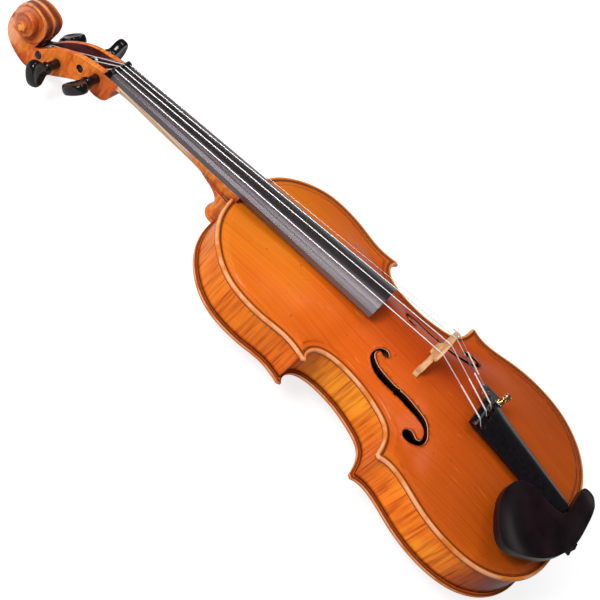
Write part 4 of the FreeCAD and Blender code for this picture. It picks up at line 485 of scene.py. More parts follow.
finishes = {
    "board": {"name": "fingerboard_ebony", "colour": (0.034, 0.021, 0.030), "roughness": 0.34, "coat": 0.5,
              "coatRoughness": 0.28, "specular": 1.0, "speck": 0.5, "scale": 6, "stretch": (60, 1, 60),
              "wear": 0.0006, "worn": (0.12, 0.105, 0.11),
              # painted sheen on the board: paler on the bass side towards the lower end, and painted shade
              # under the strings
              "fade": {"along": (0.07, -0.05), "across": (-0.0035, -0.0085), "sheenColour": (0.115, 0.095, 0.102),
                       "centreShadeColour": (0.011, 0.007, 0.009)}},
    "ebony": {"name": "fitting_ebony", "colour": (0.0055, 0.0045, 0.0055), "roughness": 0.2, "specular": 0.4,
              "speck": 0.4, "scale": 300, "bump": 0.03, "wear": 0.0005, "worn": (0.03, 0.027, 0.03)},
    "chinrest": {"name": "chinrest_ebony", "colour": (0.0095, 0.0040, 0.0054), "roughness": 0.31,
                 "specular": 0.24, "speck": 0.7, "scale": 45, "bump": 0.03, "wear": 0.0005,
                 "worn": (0.05, 0.03, 0.03)},
    "peg": {"name": "peg_ebony", "colour": (0.006, 0.005, 0.0055), "roughness": 0.13, "specular": 0.4,
            "speck": 0.4, "scale": 300, "bump": 0.02},
    "purfling": {"name": "purfling", "colour": (0.05, 0.014, 0.006), "roughness": 0.4, "specular": 0.2},
    "purflingCore": {"name": "purfling_core", "colour": (0.26, 0.085, 0.025), "roughness": 0.4,
                     "specular": 0.2},
    "bridge": {"name": "bridge_maple", "colour": (0.72, 0.42, 0.19), "roughness": 0.5, "specular": 0.3,
               "speck": 0.22, "scale": 6, "stretch": (150, 20, 20), "bump": 0.08, "wear": 0.0005,
               "worn": (0.9, 0.66, 0.4)},
    "bare": {"name": "bare_wood", "colour": (0.22, 0.11, 0.05), "roughness": 0.8, "specular": 0.1,
             "speck": 0.2, "scale": 200},
    "cork": {"name": "cork", "colour": (0.35, 0.2, 0.1), "roughness": 0.9, "specular": 0.2, "speck": 0.5,
             "scale": 900, "bump": 0.4},
    "silver": {"name": "string_silver", "colour": (0.86, 0.83, 0.82), "roughness": 0.34, "metallic": 0.45,
               "speck": 0.06, "scale": 2500, "bump": 0.2},
    "steel": {"name": "string_steel", "colour": (0.80, 0.80, 0.81), "roughness": 0.3, "metallic": 0.6,
              "speck": 0.08, "scale": 2500},
    "thread": {"name": "silk_winding", "colour": (0.90, 0.84, 0.82), "roughness": 0.45, "specular": 0.3,
               "speck": 0.14, "scale": 1500, "bump": 0.2},
    "threadDark": {"name": "silk_winding_dark", "colour": (0.10, 0.10, 0.13), "roughness": 0.45,
                   "specular": 0.3, "speck": 0.3, "scale": 1500, "bump": 0.2},
    "nickel": {"name": "tuner_nickel", "colour": (0.66, 0.64, 0.70), "roughness": 0.24, "metallic": 1.0,
               "speck": 0.08, "scale": 900, "bump": 0.03, "wear": 0.0002, "worn": (0.9, 0.9, 0.92)},
    "gold": {"name": "tuner_gold", "colour": (0.88, 0.64, 0.33), "roughness": 0.22, "metallic": 1.0,
             "speck": 0.08, "scale": 900, "bump": 0.03, "wear": 0.0002, "worn": (1.0, 0.85, 0.6)},
    "clamp": {"name": "clamp_dark_metal", "colour": (0.03, 0.03, 0.033), "roughness": 0.35, "metallic": 0.6,
              "speck": 0.2, "scale": 900},
    "plastic": {"name": "sleeve_plastic", "colour": (0.62, 0.62, 0.62), "roughness": 0.35, "speck": 0.1,
                "scale": 900},
}
for look, settings in finishes.items():
    looks[look] = plainMaterial(**settings)
print("materials ready")


# A mesh piece from millimetre vertices; coordinates are its UV per vertex
def makePiece(name, vertices, faces, look, body, replaced, slot, coordinates=None):
    mesh = bpy.data.meshes.new(name)
    mesh.from_pydata([tuple(vertex) for vertex in place(vertices)], [], [tuple(face) for face in faces])
    mesh.validate()
    if coordinates is not None:
        layer = mesh.uv_layers.new(name="UVMap")
        coordinates = np.asarray(coordinates, float)
        corners = np.zeros(len(mesh.loops), int)
        mesh.loops.foreach_get("vertex_index", corners)
        layer.data.foreach_set("uv", coordinates[corners].ravel())
    mesh.materials.append(looks[look])
    for polygon in mesh.polygons:
        polygon.use_smooth = True
    mesh.update()
    piece = bpy.data.objects.new(name, mesh)
    bpy.context.collection.objects.link(piece)
    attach(piece, body)
    if replaced:
        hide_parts(*replaced)
    return piece


# Quads between two closed rows of vertices, each given by its first vertex
def bandFaces(first, second, count):
    pairs = [(index, (index + 1) % count) for index in range(count)]
    return [[first + here, first + after, second + after, second + here] for here, after in pairs]


# Quads over closed rows that follow one another
def tubeFaces(rows, count, flip=False, start=0):
    faces = []
    for row in range(start, start + (rows - 1) * count, count):
        faces += bandFaces(row, row + count, count)
    return [face[::-1] for face in faces] if flip else faces


# outline of the plates
outline = {
    "length": bodyLength, "lowerHalf": 103.9, "lowerWidest": 80.0, "waistHalf": 55.6, "waistPlace": 206.0,
    "upperHalf": 81.7, "upperWidest": 289.0, "lowerCorner": (94.0, 149.8), "upperCorner": (80.6, 236.2),
    "cornerEnd": 3.4, "margin": 6.4, "topArch": 15.5, "backArch": 14.5,
}


def lowerPoints():
    rise = [(0.34, 0.012), (0.585, 0.085), (0.79, 0.255), (0.948, 0.555), (1, 1)]
    flank = [(0.958, 0.385), (0.893, 0.69), (0.878, 0.85)]
    half, widest = outline["lowerHalf"], outline["lowerWidest"]
    span = outline["lowerCorner"][1] - widest
    treble = [(x * half, y * widest) for x, y in rise] + [(x * half, widest + y * span) for x, y in flank]
    treble.append(outline["lowerCorner"])
    return [(-x, y) for x, y in reversed(treble)] + [(0, 0)] + treble


def centrePoints():
    end, waist, middle = outline["cornerEnd"], outline["waistHalf"], outline["waistPlace"]
    foot = (outline["lowerCorner"][0] - 0.55 * end, outline["lowerCorner"][1] + 0.83 * end)
    tip = (outline["upperCorner"][0] - 0.5 * end, outline["upperCorner"][1] - 0.86 * end)
    below = [(1, 0), (0.69, 0.024), (0.345, 0.135), (0.14, 0.4), (0.02, 0.74), (0, 1)]
    above = [(0.1, 0.63), (0.31, 0.95), (0.63, 1.09), (1, 1)]
    points = [(waist + x * (foot[0] - waist), foot[1] + y * (middle - foot[1])) for x, y in below]
    return points + [(waist + x * (tip[0] - waist), middle + y * (tip[1] - middle)) for x, y in above]


def upperPoints():
    flank = [(0.961, 0.14), (0.946, 0.36), (0.986, 0.75), (1, 1)]
    close = [(0.968, 0.32), (0.8, 0.65), (0.553, 0.872), (0.27, 0.978)]
    half, widest, start = outline["upperHalf"], outline["upperWidest"], outline["upperCorner"][1]
    treble = [outline["upperCorner"]] + [(x * half, start + y * (widest - start)) for x, y in flank]
    treble += [(x * half, widest + y * (outline["length"] - widest)) for x, y in close]
    return treble + [(0, outline["length"])] + [(-x, y) for x, y in reversed(treble)]


boutCurves = [smoothCurve(points()) for points in (lowerPoints, centrePoints, upperPoints)]
boutCounts = (220, 90, 180)
fineShares = np.linspace(0, 1, 700)
cornerReach = 160  # how many points from a bout's end the corner may cut it


# The curve moved into the body, as a dense line of points
def offsetLine(curve, distance):
    line = curve(fineShares)
    along = np.gradient(line, axis=0)
    along /= np.linalg.norm(along, axis=1)[:, None]
    return line + distance * np.stack([-along[:, 1], along[:, 0]], axis=1)


# Places, as positions along each line, where two dense lines cross
def crossing(first, second):
    p, r = first[:-1, None], np.diff(first, axis=0)[:, None]
    q, s = second[None, :-1], np.diff(second, axis=0)[None]
    turn = r[..., 0] * s[..., 1] - r[..., 1] * s[..., 0]
    turn = np.where(np.abs(turn) < 1e-12, 1e-12, turn)
    gap = q - p
    t = (gap[..., 0] * s[..., 1] - gap[..., 1] * s[..., 0]) / turn
    u = (gap[..., 0] * r[..., 1] - gap[..., 1] * r[..., 0]) / turn
    hits = np.argwhere((t >= 0) & (t <= 1) & (u >= 0) & (u <= 1))
    return [(i + t[i, j], j + u[i, j]) for i, j in hits]


# Where the ring leaves one bout and joins the next, with the blunt corner between
def cornerCut(before, after, distance, beforeEnd, afterStart):
    blunt = afterStart - beforeEnd
    blunt /= np.linalg.norm(blunt)
    inward = np.array([-blunt[1], blunt[0]])
    edge = np.stack([beforeEnd - 30 * blunt, afterStart + 30 * blunt]) + distance * inward
    last, start = before[-cornerReach:], after[:cornerReach]
    both = crossing(last, start)
    leave = [i for i, j in both + crossing(last, edge)]
    reach = [j for i, j in both] + [i for i, j in crossing(start, edge)]
    return min(leave, default=cornerReach - 1) + len(before) - cornerReach, max(reach, default=0)


def sampleLine(line, start, end, count):
    places = np.linspace(start, end, count)
    index = np.arange(len(line))
    return np.stack([np.interp(places, index, line[:, axis]) for axis in (0, 1)], axis=1)


# The inset lower, treble centre and upper lines, cut at the corners
def boutLines(distance):
    lines = [offsetLine(curve, distance) for curve in boutCurves]
    ends = [curve(np.array([0.0, 1.0])) for curve in boutCurves]
    leave, reach = cornerCut(lines[0], lines[1], distance, ends[0][1], ends[1][0])
    leave2, reach2 = cornerCut(lines[1], lines[2], distance, ends[1][1], ends[2][0])
    last = len(fineShares) - 1
    return [sampleLine(lines[0], last - leave, leave, boutCounts[0]),
            sampleLine(lines[1], reach, leave2, boutCounts[1]),
            sampleLine(lines[2], reach2, last - reach2, boutCounts[2])]


def ring(distance):
    lower, centre, upper = boutLines(distance)
    bass = centre[::-1] * np.array([-1, 1])
    return np.vstack([lower, centre, upper, bass])


def smoothStep(share):
    share = np.clip(share, 0, 1)
    return share * share * (3 - 2 * share)


def archWidth(y):
    lower = outline["lowerHalf"] - outline["margin"] - 1
    upper = outline["upperHalf"] - outline["margin"]
    middle = outline["waistHalf"] - outline["margin"]
    wide, corner, waist, top = (outline["lowerWidest"], outline["lowerCorner"][1], outline["waistPlace"],
                                outline["upperWidest"])
    stations = [(0, 0.62 * lower), (0.1 * wide, 0.72 * lower), (0.38 * wide, 0.87 * lower),
                (0.75 * wide, 0.98 * lower), (1.05 * wide, lower), (1.38 * wide, 0.93 * lower),
                (0.9 * corner, 0.77 * lower), (0.77 * waist, 1.16 * middle), (0.88 * waist, 1.03 * middle),
                (0.99 * waist, 0.99 * middle), (1.09 * waist, 1.03 * middle), (0.84 * top, 0.78 * upper),
                (0.92 * top, 0.9 * upper), (top, 0.99 * upper), (1.07 * top, 0.96 * upper),
                (0.93 * outline["length"], 0.82 * upper), (0.99 * outline["length"], 0.64 * upper),
                (outline["length"], 0.6 * upper)]
    places = np.array([station[0] for station in stations])
    widths = np.array([station[1] for station in stations])
    y = np.clip(y, 0, outline["length"])
    cell = np.clip(np.searchsorted(places, y, side="right") - 1, 0, len(places) - 2)
    share = (y - places[cell]) / (places[cell + 1] - places[cell])
    return widths[cell] + (widths[cell + 1] - widths[cell]) * (0.5 * share + 0.5 * smoothStep(share))


def archRise(points, height):
    x, y = points[:, 0], points[:, 1]
    half = outline["length"] / 2
    along = np.minimum(np.abs(y - half) / (half - outline["margin"] - 1), 1)
    across = np.minimum(np.abs(x) / archWidth(y), 1)
    return height * (1 - along ** 2.8) ** 1.4 * (1 - across ** 2.4) ** 1.5


print("curves ready")


# plates
plate = {
    "edge": [(0.9, -4.0), (0.3, -3.75), (0.0, -3.1), (0.0, -1.9), (0.12, -1.1), (0.45, -0.45), (0.95, -0.1),
             (1.5, 0.0), (2.05, -0.09), (2.5, -0.22), (2.9, -0.38)],  # inset and height, from the rib round
    "purfling": [3.15, 3.5, 4.0, 4.35], "slope": [5.2, 6.2, 7.1, 8.0],  # insets
    "latticeStep": 2.4, "thickness": 3.2, "ledge": -4.0,
}
channel = {"depth": 0.95, "place": 5.2, "width": 2.4, "start": 1.3, "blend": 1.9}
levels = {"ribTop": -4.0, "ribBottom": -34.0, "back": -38.0}  # heights below the top plate's edge


# The shallow channel that runs just inside the purfling
def channelDip(inset):
    share = (inset - channel["place"]) / channel["width"]
    blend = smoothStep((inset - channel["start"]) / channel["blend"])
    return -channel["depth"] * np.exp(-share * share) * blend


# Distance of each point from the outline, in blocks to spare memory
def insetOf(points, edge):
    result = np.empty(len(points))
    for start in range(0, len(points), 2000):
        block = points[start:start + 2000]
        result[start:start + 2000] = np.min(np.linalg.norm(block[:, None] - edge[None], axis=2), axis=1)
    return result


# Which points lie inside a closed loop
def insideOf(points, loop):
    x, y = points[:, 0][:, None], points[:, 1][:, None]
    ax, ay = loop[:, 0][None], loop[:, 1][None]
    bx, by = np.roll(loop[:, 0], -1)[None], np.roll(loop[:, 1], -1)[None]
    spans = (ay > y) != (by > y)
    rise = np.where(by == ay, 1e-12, by - ay)
    return np.sum(spans & (x < (bx - ax) * (y - ay) / rise + ax), axis=1) % 2 == 1


hole = {"top": 202.6, "bottom": 131.0, "stem": 38.9, "upperEye": 24.4, "lowerEye": 59.0, "width": 4.4,
        "nick": 1.1, "nickPlace": 0.545, "soften": 0.42,
        "rim": [(0.3, 0.35), (0.42, 1)]}  # drops below the arch, each with how far its tone is inside


# The treble sound hole as one closed loop
def holeLoop():
    tall = hole["top"] - hole["bottom"]
    stem, half = hole["stem"], hole["width"] / 2
    upper, lower = hole["upperEye"], hole["lowerEye"]
    outside = [(upper - 1.2, 0.86), (upper - 2.4, 0.9), (upper - 1.4, 0.95), (upper + 2.2, 0.993),
               (stem - 6.4, 0.998), (stem - 2, 0.93), (stem + 0.6, 0.845), (stem + half - 0.4, 0.69),
               (stem + half, 0.53), (stem + half + 1, 0.375), (stem + half + 4, 0.175), (lower - 6.6, 0.045),
               (lower - 2.6, 0.045), (lower - 1.2, 0.085)]
    wing = [(lower - 1.2, 0.085), (lower - 3.9, 0.165), (lower - 4, 0.205), (lower - 2.4, 0.232),
            (lower + 0.4, 0.232), (lower + 2.8, 0.2), (lower + 3.9, 0.14), (lower + 2.6, 0.06),
            (lower - 1, 0.004), (lower - 6, 0), (stem + 9.6, 0.034), (stem + 3.2, 0.13),
            (stem - half + 2.4, 0.25), (stem - half + 0.1, 0.42), (stem - half, 0.56),
            (stem - half - 0.6, 0.69), (stem - half - 1.8, 0.85), (stem - 6, 0.93), (stem - 9.5, 0.982),
            (upper + 2.2, 0.972), (upper + 1, 0.945)]
    eye = [(upper + 1, 0.945), (upper + 2.2, 0.9), (upper + 1.6, 0.862), (upper + 0.2, 0.848),
           (upper - 1.2, 0.86)]
    loops = []
    for points, count in ((outside, 90), (wing, 110), (eye, 16)):
        curve = smoothCurve([(x, hole["bottom"] + share * tall) for x, share in points])
        loops.append(curve(np.linspace(0, 1, count, endpoint=False)))
    # a small nick in each side of the stem
    for loop, side in ((loops[0], 1), (loops[1], -1)):
        loop[np.argmin(np.abs(loop[:, 1] - hole["bottom"] - hole["nickPlace"] * tall)
                       + 0.3 * np.abs(loop[:, 0] - stem))] += np.array([side * hole["nick"], 0])
    return np.vstack(loops)


# A closed loop moved outwards, whichever way it runs
def grown(loop, distance):
    along = np.roll(loop, -1, axis=0) - np.roll(loop, 1, axis=0)
    along /= np.linalg.norm(along, axis=1)[:, None]
    area = np.sum(loop[:, 0] * np.roll(loop[:, 1], -1) - np.roll(loop[:, 0], -1) * loop[:, 1])
    return loop + math.copysign(distance, area) * np.stack([along[:, 1], -along[:, 0]], axis=1)


def lattice(loop, step):
    low, high = loop.min(axis=0), loop.max(axis=0)
    rows = np.arange(low[1], high[1], step * 0.866)
    points = []
    for index, y in enumerate(rows):
        xs = np.arange(low[0] + (index % 2) * step / 2, high[0], step)
        points.append(np.stack([xs, np.full(len(xs), y)], axis=1))
    return np.vstack(points)


# Triangles over the field inside the boundary and outside the holes; the loops' points come first
def fillPlan(boundary, holes, step):
    loops = [boundary] + holes
    points = lattice(boundary, step)
    keep = insideOf(points, boundary) & (insetOf(points, boundary) > 0.6 * step)
    for loop in holes:
        keep &= ~insideOf(points, loop) & (insetOf(points, loop) > 0.45 * step)
    corners = np.vstack(loops + [points[keep]])
    edges = []
    start = 0
    for loop in loops:
        edges += [(start + index, start + (index + 1) % len(loop)) for index in range(len(loop))]
        start += len(loop)
    found = geometry.delaunay_2d_cdt([Vector(point) for point in corners], edges, [], 0, 1e-6)
    origin = [source[0] if source else -1 for source in found[3]]
    triangles = np.array([[origin[corner] for corner in face] for face in found[2]])
    triangles = triangles[(triangles >= 0).all(axis=1)]
    middles = corners[triangles].mean(axis=1)
    keep = insideOf(middles, boundary)
    for loop in holes:
        keep &= ~insideOf(middles, loop)
    return corners, triangles[keep]


outerRing = ring(0)
ringCount = len(outerRing)


# A carved plate: rolled edge, channel, arch and hollow inside. Returns points, faces and UV
def plateMesh(holes, height, level, direction):
    points, faces, coordinates = [], [], []
    edge, lines, thickness = plate["edge"], plate["purfling"], plate["thickness"]

    def addRing(inset, offset):
        loop = ring(inset)
        lift = archRise(loop, height) if inset > edge[-1][0] else 0
        heights = level + direction * (offset + lift)
        points.extend(np.column_stack([loop, np.broadcast_to(heights, len(loop))]))
        drop = min(0.0, offset + 0.3) if inset < lines[0] else 0.0
        coordinates.extend([(inset / 20, drop / 20)] * len(loop))
        return len(points) - len(loop)

    def joinRings(starts):
        for first, second in zip(starts, starts[1:]):
            faces.extend(bandFaces(first, second, ringCount))

    outer = [addRing(inset, offset) for inset, offset in edge]
    joinRings(outer + [addRing(lines[0], float(channelDip(lines[0])))])
    slope = [addRing(inset, float(channelDip(inset))) for inset in [lines[-1]] + plate["slope"]]
    joinRings(slope)
    boundary = ring(plate["slope"][-1])
    softened = [grown(loop, hole["soften"]) for loop in holes]
    field, triangles = fillPlan(boundary, softened, plate["latticeStep"])
    inset = insetOf(field, outerRing)
    top = archRise(field, height) + channelDip(inset)
    base = len(points)
    points.extend(np.column_stack([field, level + direction * top]))
    coordinates.extend(np.column_stack([np.minimum(inset, 20) / 20, np.zeros(len(field))]))
    faces.extend((triangles + base).tolist())
    joinRings([slope[-1], base])
    under = len(points)
    points.extend(np.column_stack([field, level + direction * (archRise(field, height) - thickness)]))
    coordinates.extend([(1.0, 1)] * len(field))
    faces.extend((triangles[:, ::-1] + under).tolist())
    start = len(boundary)
    for loop in holes:
        count = len(loop)
        rows = [base + start]
        for drop, depth in hole["rim"] + [(thickness - 0.3, 1)]:
            rows.append(len(points))
            points.extend(np.column_stack([loop, level + direction * (archRise(loop, height) - drop)]))
            coordinates.extend([(1.0, depth)] * count)
        rows.append(under + start)
        for first, second in zip(rows, rows[1:]):
            faces.extend(bandFaces(first, second, count))
        start += count
    joinRings([under, addRing(plate["slope"][-1], plate["ledge"]), addRing(*edge[0])])
    return np.array(points), faces, np.array(coordinates)


# The inlaid strip round a plate, flush with its arch
def purflingMesh(height, level, direction):
    points = []
    for inset in plate["purfling"]:
        loop = ring(inset)
        rise = channelDip(inset) + archRise(loop, height)
        points.extend(np.column_stack([loop, level + direction * rise]))
    return np.array(points), tubeFaces(len(plate["purfling"]), ringCount)


# More than one material on a piece; choose gives the slot of each face from its number
def setLooks(piece, names, choose):
    piece.data.materials.clear()
    for name in names:
        piece.data.materials.append(looks[name])
    for index, polygon in enumerate(piece.data.polygons):
        polygon.material_index = choose(index)


def fixNormals(piece):
    work = bmesh.new()
    work.from_mesh(piece.data)
    bmesh.ops.recalc_face_normals(work, faces=work.faces)
    work.to_mesh(piece.data)
    work.free()


trebleHole = holeLoop()
bassHole = (trebleHole * np.array([-1, 1]))[::-1]
plateSides = {"top": (outline["topArch"], 0, 1), "back": (outline["backArch"], levels["back"], -1)}
for side, holes, look, slot in (("top", [trebleHole, bassHole], "spruce", "top_spruce_varnish"),
                                ("back", [], "maple", "maple_varnish")):
    points, faces, coordinates = plateMesh(holes, *plateSides[side])
    makePiece("carved_" + side, points, faces, look, "violin_body", [side + "_plate"], slot, coordinates)
for side in plateSides:
    points, faces = purflingMesh(*plateSides[side])
    inlay = makePiece(side + "_inlay", points, faces, "purfling", "violin_body", [side + "_purfling"],
                      "purfling")
    setLooks(inlay, ["purfling", "purflingCore"], lambda index: 1 if index // ringCount == 1 else 0)

# the half-round tab of the back plate that carries the heel
button = {"half": 10.6, "reach": 12.5, "start": 353.0, "turns": 25,
          "upperEdge": [(0.9, 0), (0.2, -0.3), (0, -1.2)],  # inset and height from the ribs' bottom
          "lowerEdge": [(0, 1.4), (0.4, 0.5), (1.2, 0)]}  # inset and height from the back's face
buttonEnd = outline["length"] + button["reach"] - button["half"]
arc = np.linspace(0, math.pi, button["turns"])
points, count = [], button["turns"] + 2
edgeLines = [(inset, levels["ribBottom"] + z) for inset, z in button["upperEdge"]]
edgeLines += [(inset, levels["back"] + z) for inset, z in button["lowerEdge"]]
for inset, z in edgeLines:
    reach = button["half"] - inset
    loop = [(reach, button["start"])] + [(reach * math.cos(a), buttonEnd + reach * math.sin(a)) for a in arc]
    points += [(x, y, z) for x, y in loop + [(-reach, button["start"])]]
faces = tubeFaces(len(points) // count, count)
faces += [list(range(count))[::-1], list(range(len(points) - count, len(points)))]
tab = makePiece("back_button", points, faces, "maple", "violin_body", [], "maple_varnish",
                [(1.0, 0)] * len(points))
fixNormals(tab)
print("plates ready")


# ribs
ribs = {"inset": 2.8, "thickness": 1.1, "rows": 9, "neckHalf": 16.2}


# A bent strip of maple between the plates; its UV runs along the bend
def ribPiece(name, outer, inner):
    heights = np.linspace(levels["ribBottom"], levels["ribTop"], ribs["rows"])
    steps = np.linalg.norm(np.diff(outer, axis=0), axis=1)
    along = np.concatenate([[0], np.cumsum(steps)]) / 1000
    around = np.vstack([outer, inner[::-1]])
    travel = np.concatenate([along, along[::-1]])
    points, coordinates = [], []
    for z in heights:
        points.extend(np.column_stack([around, np.full(len(around), z)]))
        coordinates.extend(np.column_stack([travel, np.full(len(around), z / 1000)]))
    faces = tubeFaces(len(heights), len(around))
    count = len(outer)
    for row in (0, len(heights) - 1):
        base = row * len(around)
        for index in range(count - 1):
            a, b = base + index, base + len(around) - 1 - index
            faces.append([a, a + 1, b - 1, b])
    piece = makePiece(name + "_bent", points, faces, "ribs", "violin_body", [name], "maple_varnish",
                      coordinates)
    fixNormals(piece)


outerLines, innerLines = boutLines(ribs["inset"]), boutLines(ribs["inset"] + ribs["thickness"])
half = boutCounts[0] // 2
toNeck = np.sum(outerLines[2][:, 0] > ribs["neckHalf"])
strips = {"lower_rib": (outerLines[0][half:], innerLines[0][half:]),
          "centre_rib": (outerLines[1], innerLines[1]),
          "upper_rib": (outerLines[2][:toNeck], innerLines[2][:toNeck])}
flip = np.array([-1, 1])
for name, (outer, inner) in strips.items():
    ribPiece(name + "_treble", outer, inner)
    ribPiece(name + "_bass", outer * flip, inner * flip)
print("ribs ready")


# pegs
pegs = {
    "places": {"g": (499.2, -16.9, -1, 47), "e": (514.6, -22.7, 1, 86), "d": (532.8, -36.5, -1, 121),
               "a": (550.0, -46.2, 1, 133)},  # y, z, side of the head and turn in degrees
    "cheeks": {"g": 13.3, "e": 12.8, "d": 12.3, "a": 10.7},  # half the pegbox's width there
    "bare": {"g": 14.3, "e": 12.5, "d": 15.0, "a": 12.5},  # shank between the cheek and the head
    "beyond": {"g": 0.5, "e": -1.1, "d": 0.5, "a": 0.5},  # thin end past the far cheek
    "radius": 3.7, "taper": 60.0, "ring": 5.3, "length": 18.0, "half": 10.8, "middle": 0.58, "sides": 28,
    "paddle": [(-0.17, 0.28), (-0.02, 0.33), (0.1, 0.43), (0.2, 0.6), (0.32, 0.8), (0.46, 0.95), (0.62, 1),
               (0.77, 0.95), (0.89, 0.76), (0.97, 0.46), (1.0, 0.0)],  # shares of the length and half width
    "dish": [(1.0, 0.0), (0.985, 1.7), (0.955, 2.8), (0.9, 3.65), (0.82, 3.9), (0.7, 3.5), (0.55, 2.95),
             (0.35, 2.55), (0.15, 2.4), (0.0, 2.35)],  # scale of the outline and half the thickness there
}


# The two faces of a peg's head: a dished paddle with a thick round rim, from an outline scaled to its middle
def pegHead(collar):
    edge = [(x * pegs["length"], y * pegs["half"]) for x, y in pegs["paddle"]]
    upper = smoothCurve(edge)(np.linspace(0, 1, 34))
    loop = np.vstack([upper, upper[-2::-1] * np.array([1, -1])])
    middle = np.array([pegs["middle"] * pegs["length"], 0])
    points, faces = [], []
    count, rows = len(loop), pegs["dish"][:-1]
    for side in (1, -1):
        base = len(points)
        for scale, half in rows:
            flat = middle + scale * (loop - middle)
            points.extend(np.column_stack([flat[:, 0] + collar, flat[:, 1], np.full(count, side * half)]))
        points.append(np.array([middle[0] + collar, 0, side * pegs["dish"][-1][1]]))
        faces += tubeFaces(len(rows), count, side > 0, base)
        last = base + (len(rows) - 1) * count
        for index in range(count):
            rim = [last + index, last + (index + 1) % count, len(points) - 1]
            faces.append(rim[::-1] if side > 0 else rim)
    return points, faces


# A profile of (distance, radius) turned about x, closed at both ends
def turnedMesh(profilePoints, sides):
    angles = np.linspace(0, 2 * math.pi, sides, endpoint=False)
    points = [np.array([x, r * math.cos(a), r * math.sin(a)]) for x, r in profilePoints for a in angles]
    faces = tubeFaces(len(profilePoints), sides, flip=True)
    faces.append(list(range(sides)))
    faces.append(list(range(len(points) - sides, len(points)))[::-1])
    return points, faces


for name, (y, z, side, turn) in pegs["places"].items():
    cheek = pegs["cheeks"][name]
    collar = cheek + pegs["bare"][name]
    tip = -cheek - pegs["beyond"][name]
    shank = [(x, pegs["radius"] + (x - cheek) / pegs["taper"]) for x in np.linspace(tip + 0.35, collar - 4, 9)]
    thick, ringRadius = shank[-1][1], pegs["ring"]
    # the turned ring, as places from the collar and radii, between the shank and the head
    turned = [(-3.5, thick), (-3.2, thick + 0.55), (-2.8, ringRadius - 0.2), (-2.3, ringRadius - 0.03),
              (-1.6, ringRadius - 0.03), (-1.0, ringRadius - 0.3), (-0.5, thick + 0.45), (0.1, thick + 0.1),
              (1.5, thick - 0.1), (1.9, thick - 1.2)]
    shank = [(tip, shank[0][1] - 0.5)] + shank + [(collar + x, radius) for x, radius in turned]
    points, faces = turnedMesh(shank, pegs["sides"])
    headPoints, headFaces = pegHead(collar)
    faces += [[corner + len(points) for corner in face] for face in headFaces]
    points = np.array([list(point) for point in points + headPoints])
    spin = Matrix.Rotation(0 if side > 0 else math.pi, 3, "Z") @ Matrix.Rotation(math.radians(turn), 3, "X")
    points = points @ np.array(spin).T + np.array([0, y, z])
    piece = makePiece(name + "_peg_turned", points, faces, "peg", name + "_peg", [name + "_peg"], "ebony")
    fixNormals(piece)
print("pegs ready")


# silk windings on the strings' tails; each run is a start and end along the tail, with its look
windings = {
    "radius": 0.6, "ridge": 0.035, "pitch": 0.55, "endScale": 0.72, "sides": 10,
    "tails": {"g": ((-16.78, 166.5, 43.66), (-15.0, 112.8, 25.85)),
              "d": ((-5.59, 166.5, 46.37), (-5.0, 112.8, 26.95)),
              "a": ((5.6, 166.5, 45.52), (5.0, 112.8, 26.9)),
              "e": ((16.8, 166.45, 41.8), (16.4, 125.0, 25.77))},
    "runs": {"g": [(0.47, 0.99, "thread")], "d": [(0.50, 0.99, "thread")],
             "a": [(0.25, 0.52, "threadDark"), (0.52, 0.99, "thread")], "e": [(0.35, 0.8, "thread")]},
}
for name, (front, tail) in windings["tails"].items():
    front, tail = np.array(front), np.array(tail)
    along = (tail - front) / np.linalg.norm(tail - front)
    across = np.cross(along, [0, 0, 1])
    across /= np.linalg.norm(across)
    up = np.cross(across, along)
    for number, (start, end, look) in enumerate(windings["runs"][name]):
        length = (end - start) * np.linalg.norm(tail - front)
        rows = 2 * int(length / windings["pitch"]) + 1
        points = []
        for row in range(rows):
            centre = front + (start + (end - start) * row / (rows - 1)) * (tail - front)
            radius = windings["radius"] + windings["ridge"] * (-1) ** row
            if row in (0, rows - 1):
                radius *= windings["endScale"]
            for angle in np.linspace(0, 2 * math.pi, windings["sides"], endpoint=False):
                points.append(centre + radius * (math.cos(angle) * across + math.sin(angle) * up))
        sides = windings["sides"]
        faces = tubeFaces(rows, sides)
        faces += [list(range(sides))[::-1], list(range(len(points) - sides, len(points)))]
        piece = makePiece("%s_winding_%d" % (name, number), points, faces, look, "violin_body", [],
                          "string_silver")
        fixNormals(piece)
print("windings ready")


# looks of the CAD nodes that stay
kept = {
    "head": ["neck"],
    "board": ["fingerboard"],
    "ebony": ["nut", "saddle", "tailpiece", "end_button", "tail_gut"],
    "chinrest": ["chinrest"],
    "bridge": ["bridge"],
    "bare": ["end_block", "neck_block", "corner_blocks", "top_linings", "back_linings", "bass_bar",
             "sound_post"],
    "cork": ["chinrest_corks", "clamp_cork"],
    "silver": ["g_string", "d_string", "a_string", "g_string_coil", "d_string_coil", "a_string_coil"],
    "steel": ["e_string", "e_string_coil"],
    "plastic": ["string_sleeve"],
    "nickel": ["tuner_frame", "tuner_lever", "tuner_pin", "tailpiece_fret"],
    "gold": ["tuner_screw", "tuner_knob", "tuner_nut"],
    "clamp": ["clamp_upper_bracket", "clamp_barrel_bass", "clamp_barrel_treble", "clamp_lower_bracket",
              "bracket_screws"],
}
for look, nodes in kept.items():
    for node in nodes:
        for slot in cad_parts[node].material_slots:
            slot.material = looks[look]
print("CAD nodes dressed")


